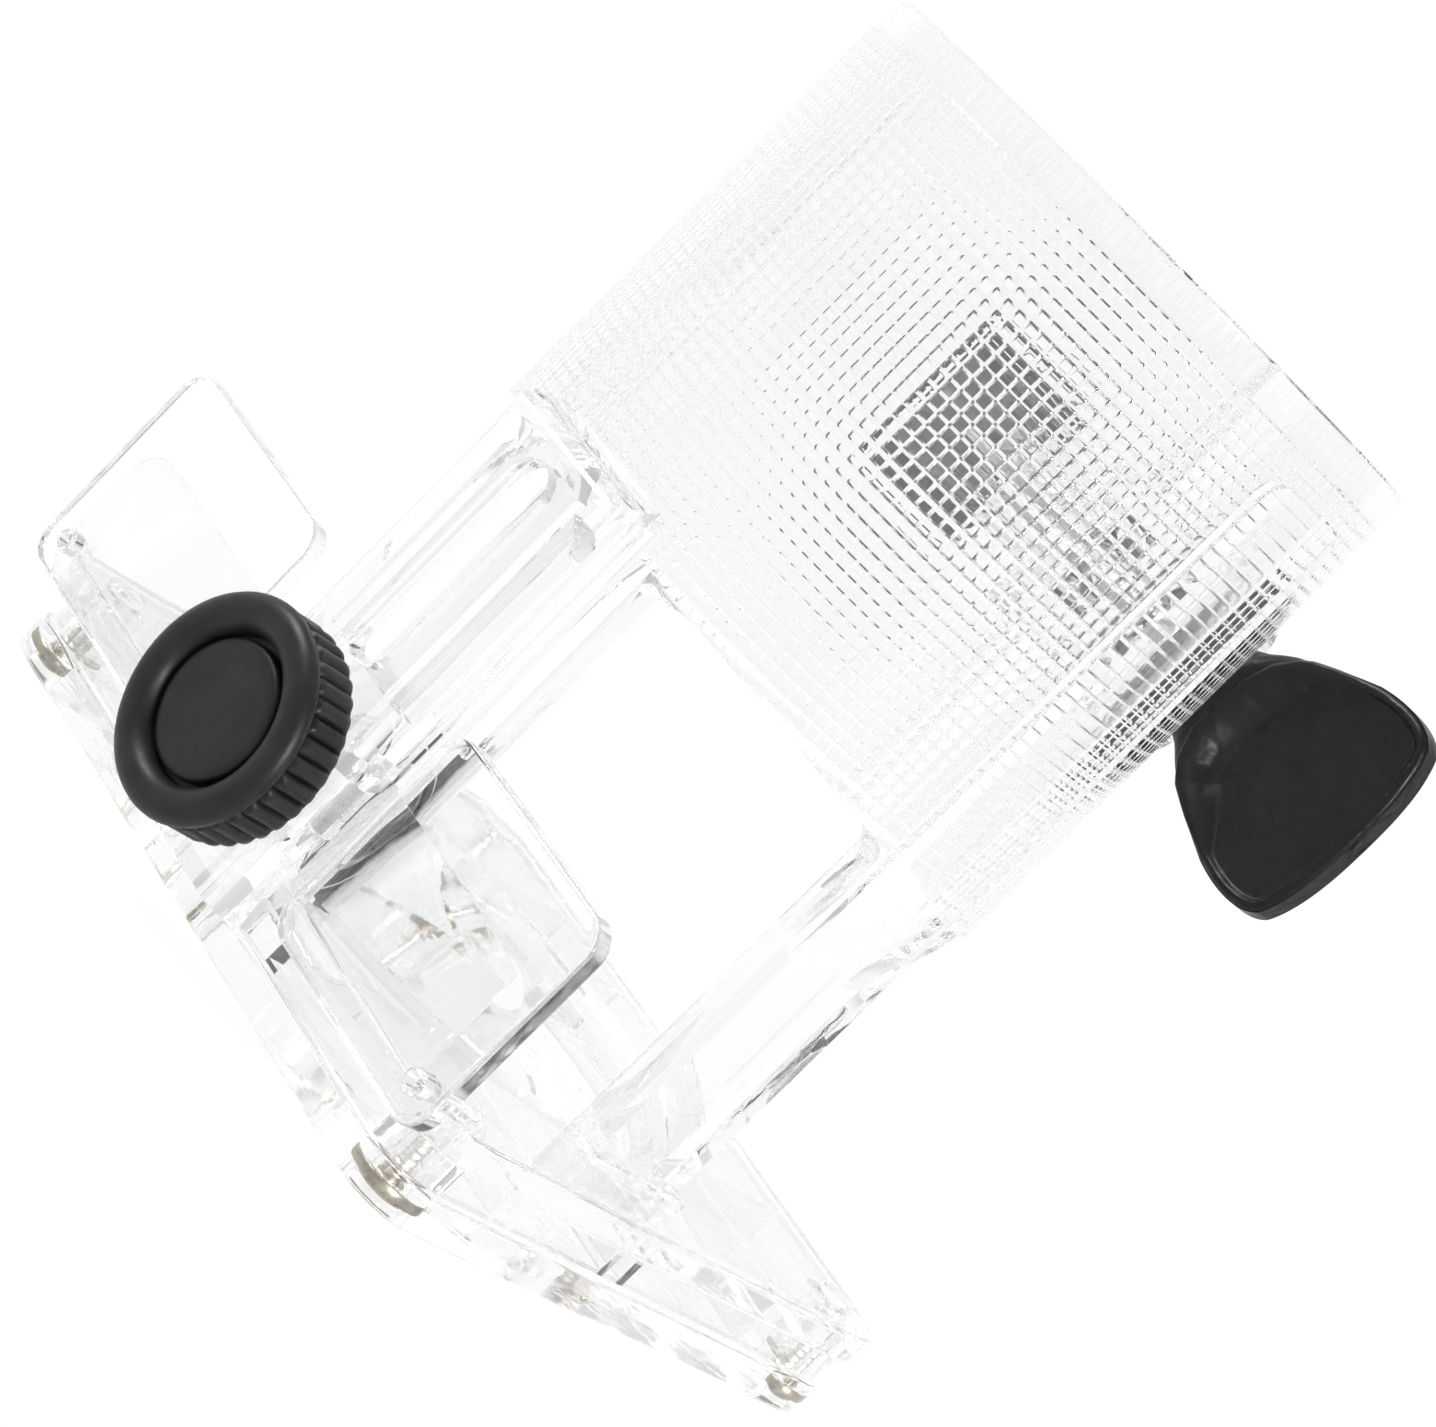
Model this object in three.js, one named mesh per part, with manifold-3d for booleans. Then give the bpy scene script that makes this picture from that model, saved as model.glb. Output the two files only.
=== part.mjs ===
// Clear plastic base of a palm router: a split collar on two legs and a front column, a flanged foot
// with a screwed-on sole, two upright chip shields, a knurled guide screw and a paddle clamp screw.
// Millimetres, +Z up along the collar's axis, -Y the front, where the knurled knob is.
import * as THREE from 'three';
import { mergeVertices } from 'three/addons/utils/BufferGeometryUtils.js';
import Module from 'manifold-3d';

const wasm = await Module();
wasm.setup();

// ---------------------------------------------------------------- driving dimensions
const GAP = 0.3;                 // air between neighbouring pieces

const BORE_R = 32.5;             // motor body, 65 mm across
const RIM_R = 35.0;              // plain band round the collar's top
const GRIP_TOP_R = 35.35;        // textured grip just under the band
const GRIP_LOW_R = 35.9;         // textured grip at its lower edge
const TOP_Z = 110.5;
const BAND_Z = 106.4;            // where the band gives way to the grip
const COLLAR_EDGE_Z = 51.6;      // lower edge of the collar at y = 0
const COLLAR_EDGE_SLOPE = -0.14; // it climbs towards the front
const LEG_IN_X = 33.2;           // inner face of the flat strips and their feet, inside the wall

const FOOT_X = 45.0;             // half width of the sole
const FOOT_Y0 = -35.5;
const FOOT_Y1 = 42.6;
const CORNER_R = 7.0;
const SOLE_T = 4.2;
const MID_Z0 = SOLE_T + GAP;     // underside of the moulded foot
const LIP_Z0 = 8.0;              // underside of its overhanging lip
const LIP_Z1 = 11.4;             // top face of the foot
const LIP_OVER = 0.5;            // how far the lip stands out past the sole
const MID_IN = 0.7;              // how far the wall under it stands in
const MID_WALL = 2.3;
const BIT_HOLE_R = 17.0;
const FOOT_HOLE_R = 30.5;

const LEG_Y0 = -6.7;             // the two side legs, on +X and -X
const LEG_Y1 = 7.4;
const PAD_X = 36.4;              // flat strip running up each leg and the collar
const PAD_Z1 = 103.6;

const TOWER_X = 10.1;            // front column, half width
const TOWER_Y = -40.5;           // its front face
const TOWER_Z1 = 60.0;
const TOWER_WALL = 2.4;
const TOWER_WEB_X = 13.0;        // the wall it grows out of
const SLOT_X = 2.9;              // half width of its slot
const SLOT_Z0 = 30.0;
const SLOT_Z1 = 56.0;

const SHIELD_X0 = 15.1;          // chip shields, inner and outer edges
const SHIELD_X1 = 45.3;
const SHIELD_Y0 = -39.8;
const SHIELD_Y1 = -37.4;
const SHIELD_Z0 = 8.4;
const SHIELD_Z1 = 34.5;
const BACKER_X1 = 43.4;          // moulded wall behind each shield
const BACKER_Z1 = 25.5;
const STUD_X = 41.4;
const STUD_Z = 12.2;

const SCREW_X = 39.0;            // sole screws
const SCREW_Y0 = -29.5;
const SCREW_Y1 = 37.3;
const SCREW_R = 1.5;
const SCREW_HOLE_R = 1.8;
const SCREW_HEAD_R = 3.2;
const SCREW_SEAT_R = 3.5;        // counterbore in the sole

const THUMB_Z = 18.6;            // knurled guide screw, axis along Y
const THUMB_BACK = -42.0;        // knob's back face
const THUMB_R = 11.9;
const THUMB_T = 8.2;
const BOSS_Y = -40.8;            // boss the knob tightens against
const BOSS_R = 8.8;
const M6_R = 2.95;
const M6_HOLE_R = 3.25;
const M6_NUT = 9.9;              // across flats
const M6_POCKET = 10.6;
const M6_NUT_Y0 = -37.3;
const M6_NUT_Y1 = -33.0;
const M6_SHANK_IN = 4.1;         // how far the shank reaches into the knob, and its blind hole
const M6_BLIND_IN = 4.4;

const CLAMP_Y = 42.0;            // paddle clamp screw, axis along X
const CLAMP_Z = 82.7;
const SPLIT_X = 4.2;             // half width of the collar's split
const EAR_X = 10.7;              // outer face of the ear under the paddle
const EAR_H = 10.6;              // half height of both ears
const EAR_BOSS_R = 6.4;
const EAR_FAR_X = -27.6;         // outer face of the long ear on the other side
const EAR_Y1 = 48.6;
const M5_R = 2.45;
const M5_HOLE_R = 2.75;
const M5_NUT = 8.0;              // across flats
const M5_POCKET = 8.7;
const M5_SHANK_X1 = 18.0;        // the shank's end inside the paddle, and its blind hole's
const M5_BLIND_X1 = 18.4;
const M5_SHANK_X0 = -37.0;
const HUB_X = 12.1;              // paddle's inner end
const PADDLE_X1 = 40.4;
const PADDLE_T = 3.6;
const PADDLE_H = 13.75;          // half height

const ROUND = 60;                // facets round the collar

// ---------------------------------------------------------------- small tools
function solid(geometry) {
  const g = geometry.index ? geometry.clone() : geometry;
  g.deleteAttribute('normal');
  g.deleteAttribute('uv');
  const merged = mergeVertices(g, 1e-4);
  const vertProperties = new Float32Array(merged.attributes.position.array);
  const index = merged.index.array;
  const keep = [];
  for (let i = 0; i < index.length; i += 3) {
    const [a, b, c] = [index[i], index[i + 1], index[i + 2]];
    if (a !== b && b !== c && c !== a) keep.push(a, b, c);
  }
  let volume = 0;
  const at = (i) => new THREE.Vector3().fromArray(vertProperties, 3 * i);
  for (let i = 0; i < keep.length; i += 3) {
    volume += at(keep[i]).dot(at(keep[i + 1]).cross(at(keep[i + 2])));
  }
  if (volume < 0) {
    for (let i = 0; i < keep.length; i += 3) [keep[i], keep[i + 1]] = [keep[i + 1], keep[i]];
  }
  const triVerts = new Uint32Array(keep);
  return new wasm.Manifold(new wasm.Mesh({ numProp: 3, vertProperties, triVerts }));
}

function join(...parts) {
  return parts.reduce((sum, part) => sum.add(part));
}

function box(x0, x1, y0, y1, z0, z1) {
  const g = new THREE.BoxGeometry(x1 - x0, y1 - y0, z1 - z0);
  g.translate((x0 + x1) / 2, (y0 + y1) / 2, (z0 + z1) / 2);
  return solid(g);
}

// A body of revolution: profile is [radius, height] pairs, height running along the named axis.
function turned(profile, axis, centre, facets = 48) {
  const g = new THREE.LatheGeometry(profile.map(([r, h]) => new THREE.Vector2(r, h)), facets);
  if (axis === 'z') g.rotateX(Math.PI / 2);
  if (axis === 'x') g.rotateZ(-Math.PI / 2);
  g.translate(...centre);
  return solid(g);
}

function rod(r, h0, h1, axis, centre, facets = 32) {
  return turned([[0, h0], [r, h0], [r, h1], [0, h1]], axis, centre, facets);
}

function roundRect(x0, x1, y0, y1, r) {
  const s = new THREE.Shape();
  s.moveTo(x0 + r, y0);
  s.lineTo(x1 - r, y0);
  s.absarc(x1 - r, y0 + r, r, -Math.PI / 2, 0, false);
  s.lineTo(x1, y1 - r);
  s.absarc(x1 - r, y1 - r, r, 0, Math.PI / 2, false);
  s.lineTo(x0 + r, y1);
  s.absarc(x0 + r, y1 - r, r, Math.PI / 2, Math.PI, false);
  s.lineTo(x0, y0 + r);
  s.absarc(x0 + r, y0 + r, r, Math.PI, Math.PI * 1.5, false);
  return s;
}

// Shapes drawn in plan (x, y) and raised along Z.
function raised(shape, z0, z1, curveSegments = 5) {
  const g = new THREE.ExtrudeGeometry(shape, { depth: z1 - z0, bevelEnabled: false, curveSegments });
  g.translate(0, 0, z0);
  return solid(g);
}

// Shapes drawn in the front view (x, z) and run along Y.
function alongY(shape, y0, y1, curveSegments = 5) {
  const g = new THREE.ExtrudeGeometry(shape, { depth: y1 - y0, bevelEnabled: false, curveSegments });
  g.rotateX(Math.PI / 2);
  g.translate(0, y1, 0);
  return solid(g);
}

// Shapes drawn in the side view (y, z) and run along X.
function alongX(shape, x0, x1, curveSegments = 5) {
  const g = new THREE.ExtrudeGeometry(shape, { depth: x1 - x0, bevelEnabled: false, curveSegments });
  g.rotateX(Math.PI / 2);
  g.rotateZ(Math.PI / 2);
  g.translate(x0, 0, 0);
  return solid(g);
}

function hexagon(acrossFlats) {
  const s = new THREE.Shape();
  const r = acrossFlats / Math.sqrt(3);
  for (let i = 0; i < 6; i += 1) {
    const a = (Math.PI / 3) * i + Math.PI / 6;
    if (i === 0) s.moveTo(r * Math.cos(a), r * Math.sin(a));
    else s.lineTo(r * Math.cos(a), r * Math.sin(a));
  }
  s.closePath();
  return s;
}

function shifted(shape, dx, dy) {
  return new THREE.Shape(shape.getPoints(8).map((p) => new THREE.Vector2(p.x + dx, p.y + dy)));
}

// ---------------------------------------------------------------- materials
const clear = { color: 0xeef1f2, roughness: 0.08, metalness: 0, transparent: true, opacity: 0.35 };
const black = { color: 0x2b2c2d, roughness: 0.5, metalness: 0 };
const steel = { color: 0xb9bbbc, roughness: 0.3, metalness: 1 };
const brass = { color: 0xb08a45, roughness: 0.35, metalness: 1 };

const group = new THREE.Group();

function place(name, manifold, look) {
  const m = manifold.getMesh();
  const g = new THREE.BufferGeometry();
  g.setAttribute('position', new THREE.BufferAttribute(new Float32Array(m.vertProperties), 3));
  g.setIndex(new THREE.BufferAttribute(new Uint32Array(m.triVerts), 1));
  g.computeVertexNormals();
  const mesh = new THREE.Mesh(g, new THREE.MeshStandardMaterial(look));
  mesh.name = name;
  group.add(mesh);
}

// ---------------------------------------------------------------- housing
function collarEdge(y) {
  return COLLAR_EDGE_Z + COLLAR_EDGE_SLOPE * y;
}

function collarTube() {
  const profile = [
    [BORE_R, LIP_Z0], [GRIP_LOW_R, LIP_Z0], [GRIP_LOW_R, COLLAR_EDGE_Z],
    [GRIP_TOP_R, BAND_Z], [RIM_R, BAND_Z], [RIM_R, TOP_Z - 0.6],
    [RIM_R - 0.6, TOP_Z], [BORE_R + 0.5, TOP_Z], [BORE_R, TOP_Z - 0.5],
    [BORE_R, LIP_Z0],
  ];
  return turned(profile, 'z', [0, 0, 0], ROUND);
}

// Side view of the opening between the front column and a leg.
function frontWindow(x0, x1) {
  const s = new THREE.Shape();
  const yIn = -33.5;
  s.moveTo(LEG_Y0, LIP_Z1);
  s.lineTo(LEG_Y0, collarEdge(LEG_Y0) - 2);
  s.quadraticCurveTo(LEG_Y0, collarEdge(LEG_Y0), LEG_Y0 - 2, collarEdge(LEG_Y0 - 2));
  s.lineTo(yIn + 4, collarEdge(yIn + 4));
  s.quadraticCurveTo(yIn + 1, collarEdge(yIn + 1), yIn, collarEdge(yIn) - 3);
  s.lineTo(yIn - 6, collarEdge(yIn) - 12);
  s.lineTo(yIn - 6, LIP_Z1);
  s.closePath();
  return alongX(s, x0, x1, 6);
}

// Side view of the opening that runs right round the back, from leg to leg.
function rearWindow() {
  const s = new THREE.Shape();
  s.moveTo(LEG_Y1, LIP_Z1);
  s.lineTo(LEG_Y1, 37);
  s.bezierCurveTo(LEG_Y1 + 0.5, 43, LEG_Y1 + 5, collarEdge(20) - 1, LEG_Y1 + 11, collarEdge(20));
  s.lineTo(50, collarEdge(50));
  s.lineTo(50, LIP_Z1);
  s.closePath();
  return alongX(s, -50, 50, 8);
}

function pads() {
  const outline = roundRect(LEG_Y0, LEG_Y1, LIP_Z1 - 1, PAD_Z1, 3.2);
  const square = roundRect(LEG_Y0, LEG_Y1, LIP_Z1 - 1, 40, 0.1);
  const right = join(alongX(outline, LEG_IN_X, PAD_X, 6), alongX(square, LEG_IN_X, PAD_X, 2));
  const left = join(alongX(outline, -PAD_X, -LEG_IN_X, 6), alongX(square, -PAD_X, -LEG_IN_X, 2));
  const feet = join(
    box(LEG_IN_X, 37.6, LEG_Y0 - 1, LEG_Y1 + 1, LIP_Z1 - 1, LIP_Z1 + 1),
    box(-37.6, -LEG_IN_X, LEG_Y0 - 1, LEG_Y1 + 1, LIP_Z1 - 1, LIP_Z1 + 1),
  );
  return join(right, left, feet);
}

function tower() {
  const front = new THREE.Shape();
  const r = 2.6;
  front.moveTo(-TOWER_WEB_X, -33.6);
  front.lineTo(-TOWER_X - 0.6, -34.4);
  front.lineTo(-TOWER_X, -35.2);
  front.lineTo(-TOWER_X, TOWER_Y + r);
  front.absarc(-TOWER_X + r, TOWER_Y + r, r, Math.PI, Math.PI * 1.5, false);
  front.lineTo(TOWER_X - r, TOWER_Y);
  front.absarc(TOWER_X - r, TOWER_Y + r, r, -Math.PI / 2, 0, false);
  front.lineTo(TOWER_X, -35.2);
  front.lineTo(TOWER_X + 0.6, -34.4);
  front.lineTo(TOWER_WEB_X, -33.6);
  front.lineTo(TOWER_WEB_X, -30);
  front.lineTo(-TOWER_WEB_X, -30);
  front.closePath();
  const column = raised(front, MID_Z0, TOWER_Z1 + 1, 5);

  // the roof slopes off towards the front and its shoulders are rounded
  const roof = new THREE.Shape();
  roof.moveTo(-30, MID_Z0);
  roof.lineTo(-30, TOWER_Z1);
  roof.lineTo(-37.4, TOWER_Z1 - 0.4);
  roof.quadraticCurveTo(TOWER_Y, TOWER_Z1 - 0.8, TOWER_Y, TOWER_Z1 - 4);
  roof.lineTo(TOWER_Y, MID_Z0);
  roof.closePath();
  const shoulders = new THREE.Shape();
  const w = TOWER_WEB_X + 0.01;
  shoulders.moveTo(-w, MID_Z0);
  shoulders.lineTo(w, MID_Z0);
  shoulders.lineTo(w, TOWER_Z1 - 6);
  shoulders.quadraticCurveTo(TOWER_X, TOWER_Z1 - 5, TOWER_X - 0.4, TOWER_Z1 - 3.5);
  shoulders.quadraticCurveTo(TOWER_X - 1, TOWER_Z1, TOWER_X - 4, TOWER_Z1);
  shoulders.lineTo(-TOWER_X + 4, TOWER_Z1);
  shoulders.quadraticCurveTo(-TOWER_X + 1, TOWER_Z1, -TOWER_X + 0.4, TOWER_Z1 - 3.5);
  shoulders.quadraticCurveTo(-TOWER_X, TOWER_Z1 - 5, -w, TOWER_Z1 - 6);
  shoulders.closePath();
  return column.intersect(alongX(roof, -20, 20, 6)).intersect(alongY(shoulders, -45, -25, 6));
}

// Hexagonal seat for the guide screw's nut, open to the inside of the collar.
function nutPocket() {
  return alongY(shifted(hexagon(M6_POCKET), 0, THUMB_Z), M6_NUT_Y0 - GAP, -30);
}

function thumbHole() {
  return rod(M6_HOLE_R, -50, -30, 'y', [0, 0, THUMB_Z], 24);
}

// Everything hollowed out of the column: its inner channel, slot and the guide screw's bore.
function towerCuts() {
  const inner = TOWER_X - TOWER_WALL;
  const channel = box(-inner, inner, TOWER_Y + TOWER_WALL, -36.2, SLOT_Z0, TOWER_Z1 - TOWER_WALL);
  const slot = alongY(roundRect(-SLOT_X, SLOT_X, SLOT_Z0, SLOT_Z1, 2.85), TOWER_Y - 2, -37, 8);
  return join(channel, slot, thumbHole(), nutPocket());
}

function towerRibs() {
  const ribs = [-6.2, 5.0].map((x) => box(x, x + 1.2, TOWER_Y + 1.5, -35, SLOT_Z0 - 1, TOWER_Z1 - 4));
  const boss = rod(BOSS_R, BOSS_Y, -35, 'y', [0, 0, THUMB_Z], 36);
  return join(...ribs, boss);
}

function footPlan(inset, r) {
  return roundRect(-FOOT_X + inset, FOOT_X - inset, FOOT_Y0 + inset, FOOT_Y1 - inset, r);
}

function foot() {
  const lip = raised(footPlan(-LIP_OVER, CORNER_R + LIP_OVER), LIP_Z0, LIP_Z1 - 0.5);
  const lipTop = raised(footPlan(-LIP_OVER + 0.5, CORNER_R), LIP_Z1 - 0.6, LIP_Z1);
  const wall = raised(footPlan(MID_IN, CORNER_R - MID_IN), MID_Z0, LIP_Z0 + 0.1);
  const inset = MID_IN + MID_WALL;
  const hollow = raised(footPlan(inset, CORNER_R - inset), MID_Z0 - 1, LIP_Z0 + 0.2);
  const ring = rod(FOOT_HOLE_R + 2.4, MID_Z0, LIP_Z0 + 0.2, 'z', [0, 0, 0], ROUND);
  const ribs = [];
  const far = FOOT_X - inset + 0.2;
  const z = [MID_Z0, LIP_Z0 + 0.1];
  for (const side of [-1, 1]) {
    for (const y of [-20.6, -2.1, 1.3, 22.4]) {
      const reach = Math.sqrt(Math.max((FOOT_HOLE_R + 1) ** 2 - y * y, 0));
      const [x0, x1] = side > 0 ? [reach, far] : [-far, -reach];
      ribs.push(box(x0, x1, y, y + 1.2, ...z));
    }
    for (const x of [12, 24]) {
      const x0 = side * x - 0.6;
      const reach = Math.sqrt((FOOT_HOLE_R + 1) ** 2 - x * x);
      ribs.push(box(x0, x0 + 1.2, reach, FOOT_Y1 - inset + 0.2, ...z));
    }
  }
  return join(wall.subtract(hollow), lip, lipTop, ring, ...ribs);
}

function screwSpots() {
  return [
    ['front_left', -SCREW_X, SCREW_Y0],
    ['front_right', SCREW_X, SCREW_Y0],
    ['back_left', -SCREW_X, SCREW_Y1],
    ['back_right', SCREW_X, SCREW_Y1],
  ];
}

function screwBosses() {
  const posts = screwSpots().map(([, x, y]) => rod(3.6, MID_Z0, LIP_Z0 + 0.2, 'z', [x, y, 0], 16));
  const caps = screwSpots().map(([, x, y]) => rod(2.3, LIP_Z1 - 0.2, LIP_Z1 + 0.7, 'z', [x, y, 0], 16));
  return join(...posts, ...caps);
}

function screwHoles() {
  return join(...screwSpots().map(([, x, y]) => rod(SCREW_HOLE_R, MID_Z0 - 1, 10.4, 'z', [x, y, 0], 16)));
}

// Split collar's ears: a short one under the paddle and a long boss with webs on the other side.
function ears() {
  const lug = roundRect(30, EAR_Y1, CLAMP_Z - EAR_H, CLAMP_Z + EAR_H, 4.5);
  const near = alongX(lug, SPLIT_X, EAR_X, 6);
  const far = alongX(lug, -EAR_X, -SPLIT_X, 6);
  const boss = rod(EAR_BOSS_R, EAR_FAR_X, -SPLIT_X, 'x', [0, CLAMP_Y, CLAMP_Z], 32);
  const web = box(EAR_FAR_X, -SPLIT_X, 18, CLAMP_Y, CLAMP_Z - 1.3, CLAMP_Z + 1.3);
  const endWeb = box(EAR_FAR_X, EAR_FAR_X + 3, 22, CLAMP_Y, CLAMP_Z - EAR_BOSS_R, CLAMP_Z + EAR_BOSS_R);
  return join(near, far, boss, web, endWeb);
}

function backers() {
  const y0 = SHIELD_Y1 + GAP;
  const walls = [-1, 1].map((side) => {
    const [a, b] = side > 0 ? [9, BACKER_X1] : [-BACKER_X1, -9];
    return alongY(roundRect(a, b, LIP_Z0, BACKER_Z1, 2.6), y0, y0 + 1.3, 6);
  });
  const studs = [-1, 1].map((side) => rod(1.1, SHIELD_Y0 - 0.5, y0 + 1, 'y', [side * STUD_X, 0, STUD_Z], 12));
  return join(...walls, ...studs);
}

function housing() {
  const bore = rod(BORE_R, LIP_Z1, TOP_Z + 5, 'z', [0, 0, 0], ROUND);
  const footHole = rod(FOOT_HOLE_R, -1, LIP_Z1 + 1, 'z', [0, 0, 0], ROUND);
  const split = box(-SPLIT_X, SPLIT_X, 20, 60, 38, TOP_Z + 5);
  const clampHole = rod(M5_HOLE_R, -60, 60, 'x', [0, CLAMP_Y, CLAMP_Z], 24);
  let body = join(collarTube(), pads());
  body = body.subtract(frontWindow(TOWER_WEB_X, 60)).subtract(frontWindow(-60, -TOWER_WEB_X));
  body = body.subtract(rearWindow());
  body = join(body, ears(), foot(), tower());
  body = body.subtract(towerCuts());
  body = join(body, towerRibs().subtract(thumbHole()));
  body = join(body, screwBosses(), backers());
  return body.subtract(join(bore, footHole, split, clampHole, nutPocket(), screwHoles()));
}

place('housing', housing(), clear);

// ---------------------------------------------------------------- sole and its screws
function solePlate() {
  const plate = raised(footPlan(0, CORNER_R), 0, SOLE_T);
  const cuts = [rod(BIT_HOLE_R, -1, SOLE_T + 1, 'z', [0, 0, 0], 40)];
  for (const [, x, y] of screwSpots()) {
    cuts.push(rod(SCREW_SEAT_R, -1, 2.5, 'z', [x, y, 0], 24));
    cuts.push(rod(SCREW_HOLE_R, -1, SOLE_T + 1, 'z', [x, y, 0], 16));
  }
  return plate.subtract(join(...cuts));
}

function soleScrew(x, y) {
  const body = [
    [0, 0.5], [SCREW_HEAD_R - 1, 0.5], [SCREW_HEAD_R, 1.3], [SCREW_HEAD_R, 2.2],
    [SCREW_R, 2.2], [SCREW_R, 9.0], [SCREW_R - 1, 10.0], [0, 10.0],
  ];
  const cross = join(box(-1.5, 1.5, -0.3, 0.3, 0, 1.2), box(-0.3, 0.3, -1.5, 1.5, 0, 1.2));
  return turned(body, 'z', [0, 0, 0], 20).subtract(cross).translate([x, y, 0]);
}

place('sole_plate', solePlate(), clear);
for (const [where, x, y] of screwSpots()) place(`sole_screw_${where}`, soleScrew(x, y), brass);

// ---------------------------------------------------------------- chip shields
for (const [side, sign] of [['left', -1], ['right', 1]]) {
  const [a, b] = sign > 0 ? [SHIELD_X0, SHIELD_X1] : [-SHIELD_X1, -SHIELD_X0];
  const plate = alongY(roundRect(a, b, SHIELD_Z0, SHIELD_Z1, 3.2), SHIELD_Y0, SHIELD_Y1, 4);
  const hole = rod(1.4, SHIELD_Y0 - 1, SHIELD_Y1 + 1, 'y', [sign * STUD_X, 0, STUD_Z], 12);
  place(`chip_shield_${side}`, plate.subtract(hole), clear);
}

// ---------------------------------------------------------------- knurled guide screw
function thumbKnob() {
  // heights run backwards from the knob's back face towards the front
  const face = [
    [0, 0], [10.6, 0], [11.0, 0.5], [11.0, 5.3], [THUMB_R, 6.2],
    [11.5, 7.3], [10.0, THUMB_T], [8.8, 7.9], [7.9, 7.0], [7.9, 5.4], [0, 5.4],
  ];
  const body = turned(face.map(([r, h]) => [r, -h]), 'y', [0, THUMB_BACK, THUMB_Z], 36);
  const knurl = new THREE.Shape();
  const count = 36;
  for (let i = 0; i < count; i += 1) {
    const a = (2 * Math.PI * i) / count;
    const b = a + Math.PI / count;
    const points = [[11.1, a], [11.75, b]].map(([r, t]) => [r * Math.cos(t), THUMB_Z + r * Math.sin(t)]);
    if (i === 0) knurl.moveTo(...points[0]);
    else knurl.lineTo(...points[0]);
    knurl.lineTo(...points[1]);
  }
  knurl.closePath();
  const ridges = alongY(knurl, THUMB_BACK - 5.5, THUMB_BACK - 0.4);
  const blind = rod(M6_HOLE_R, THUMB_BACK - M6_BLIND_IN, THUMB_BACK + 1, 'y', [0, 0, THUMB_Z], 24);
  return join(body, ridges).subtract(blind);
}

place('thumb_knob', thumbKnob(), black);

const capBack = THUMB_BACK - 5.4 - GAP;
const capProfile = [[0, 0], [7.3, 0], [7.35, 1.0], [7.0, 1.35], [0, 1.35]];
const cap = turned(capProfile.map(([r, h]) => [r, -h]), 'y', [0, capBack, THUMB_Z], 32);
place('thumb_knob_cap', cap, black);

const thumbShankY0 = THUMB_BACK - M6_SHANK_IN;
const thumbShank = [
  [0, thumbShankY0], [M6_R, thumbShankY0], [M6_R, M6_NUT_Y1 - 0.8], [2.3, M6_NUT_Y1], [0, M6_NUT_Y1],
];
place('thumb_screw', turned(thumbShank, 'y', [0, 0, THUMB_Z], 24), steel);

function washer(outer, inner, h0, h1, axis, centre) {
  const profile = [[inner, h0], [outer, h0], [outer, h1], [inner, h1], [inner, h0]];
  return turned(profile, axis, centre, 24);
}

place('thumb_washer', washer(6.5, M6_HOLE_R, THUMB_BACK + GAP, BOSS_Y - GAP, 'y', [0, 0, THUMB_Z]), steel);
place('thumb_nut', alongY(shifted(hexagon(M6_NUT), 0, THUMB_Z), M6_NUT_Y0, M6_NUT_Y1)
  .subtract(rod(M6_HOLE_R, -40, -30, 'y', [0, 0, THUMB_Z], 24)), steel);

// ---------------------------------------------------------------- paddle clamp screw
function paddleOutline() {
  const s = new THREE.Shape();
  const top = [
    [HUB_X + 1.2, 5.4], [14.6, 6.35], [19.6, 9.0], [24.2, 11.1], [29.0, 13.0],
  ];
  const z = (h) => CLAMP_Z + h;
  s.moveTo(HUB_X + 1.2, z(-5.4));
  for (const [x, h] of top) s.lineTo(x, z(-h));
  s.bezierCurveTo(32, z(-PADDLE_H), 36.5, z(-PADDLE_H - 0.3), 38.4, z(-12));
  s.bezierCurveTo(40.2, z(-9), PADDLE_X1, z(-4), PADDLE_X1, z(0));
  s.bezierCurveTo(PADDLE_X1, z(4), 40.2, z(9), 38.4, z(12));
  s.bezierCurveTo(36.5, z(PADDLE_H + 0.3), 32, z(PADDLE_H), 29, z(13));
  for (const [x, h] of top.slice().reverse()) s.lineTo(x, z(h));
  s.closePath();
  return s;
}

function clampPaddle() {
  const plate = alongY(paddleOutline(), CLAMP_Y - PADDLE_T / 2, CLAMP_Y + PADDLE_T / 2, 10);
  const hubProfile = [
    [0, HUB_X], [4.9, HUB_X], [5.3, HUB_X + 0.5], [5.7, 14.6], [5.0, 16.5],
    [3.9, 18.5], [2.9, 21], [1.9, 24], [1.2, 25], [0, 25],
  ];
  const hub = turned(hubProfile, 'x', [0, CLAMP_Y, CLAMP_Z], 32);
  const blind = rod(M5_HOLE_R, HUB_X - 1, M5_BLIND_X1, 'x', [0, CLAMP_Y, CLAMP_Z], 24);
  return join(plate, hub).subtract(blind);
}

place('clamp_paddle', clampPaddle(), black);

const clampShank = [
  [0, M5_SHANK_X0], [1.9, M5_SHANK_X0], [M5_R, M5_SHANK_X0 + 0.6], [M5_R, M5_SHANK_X1], [0, M5_SHANK_X1],
];
place('clamp_screw', turned(clampShank, 'x', [0, CLAMP_Y, CLAMP_Z], 24), steel);
place('clamp_washer', washer(5.4, M5_HOLE_R, EAR_X + GAP, HUB_X - GAP, 'x', [0, CLAMP_Y, CLAMP_Z]), steel);

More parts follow.
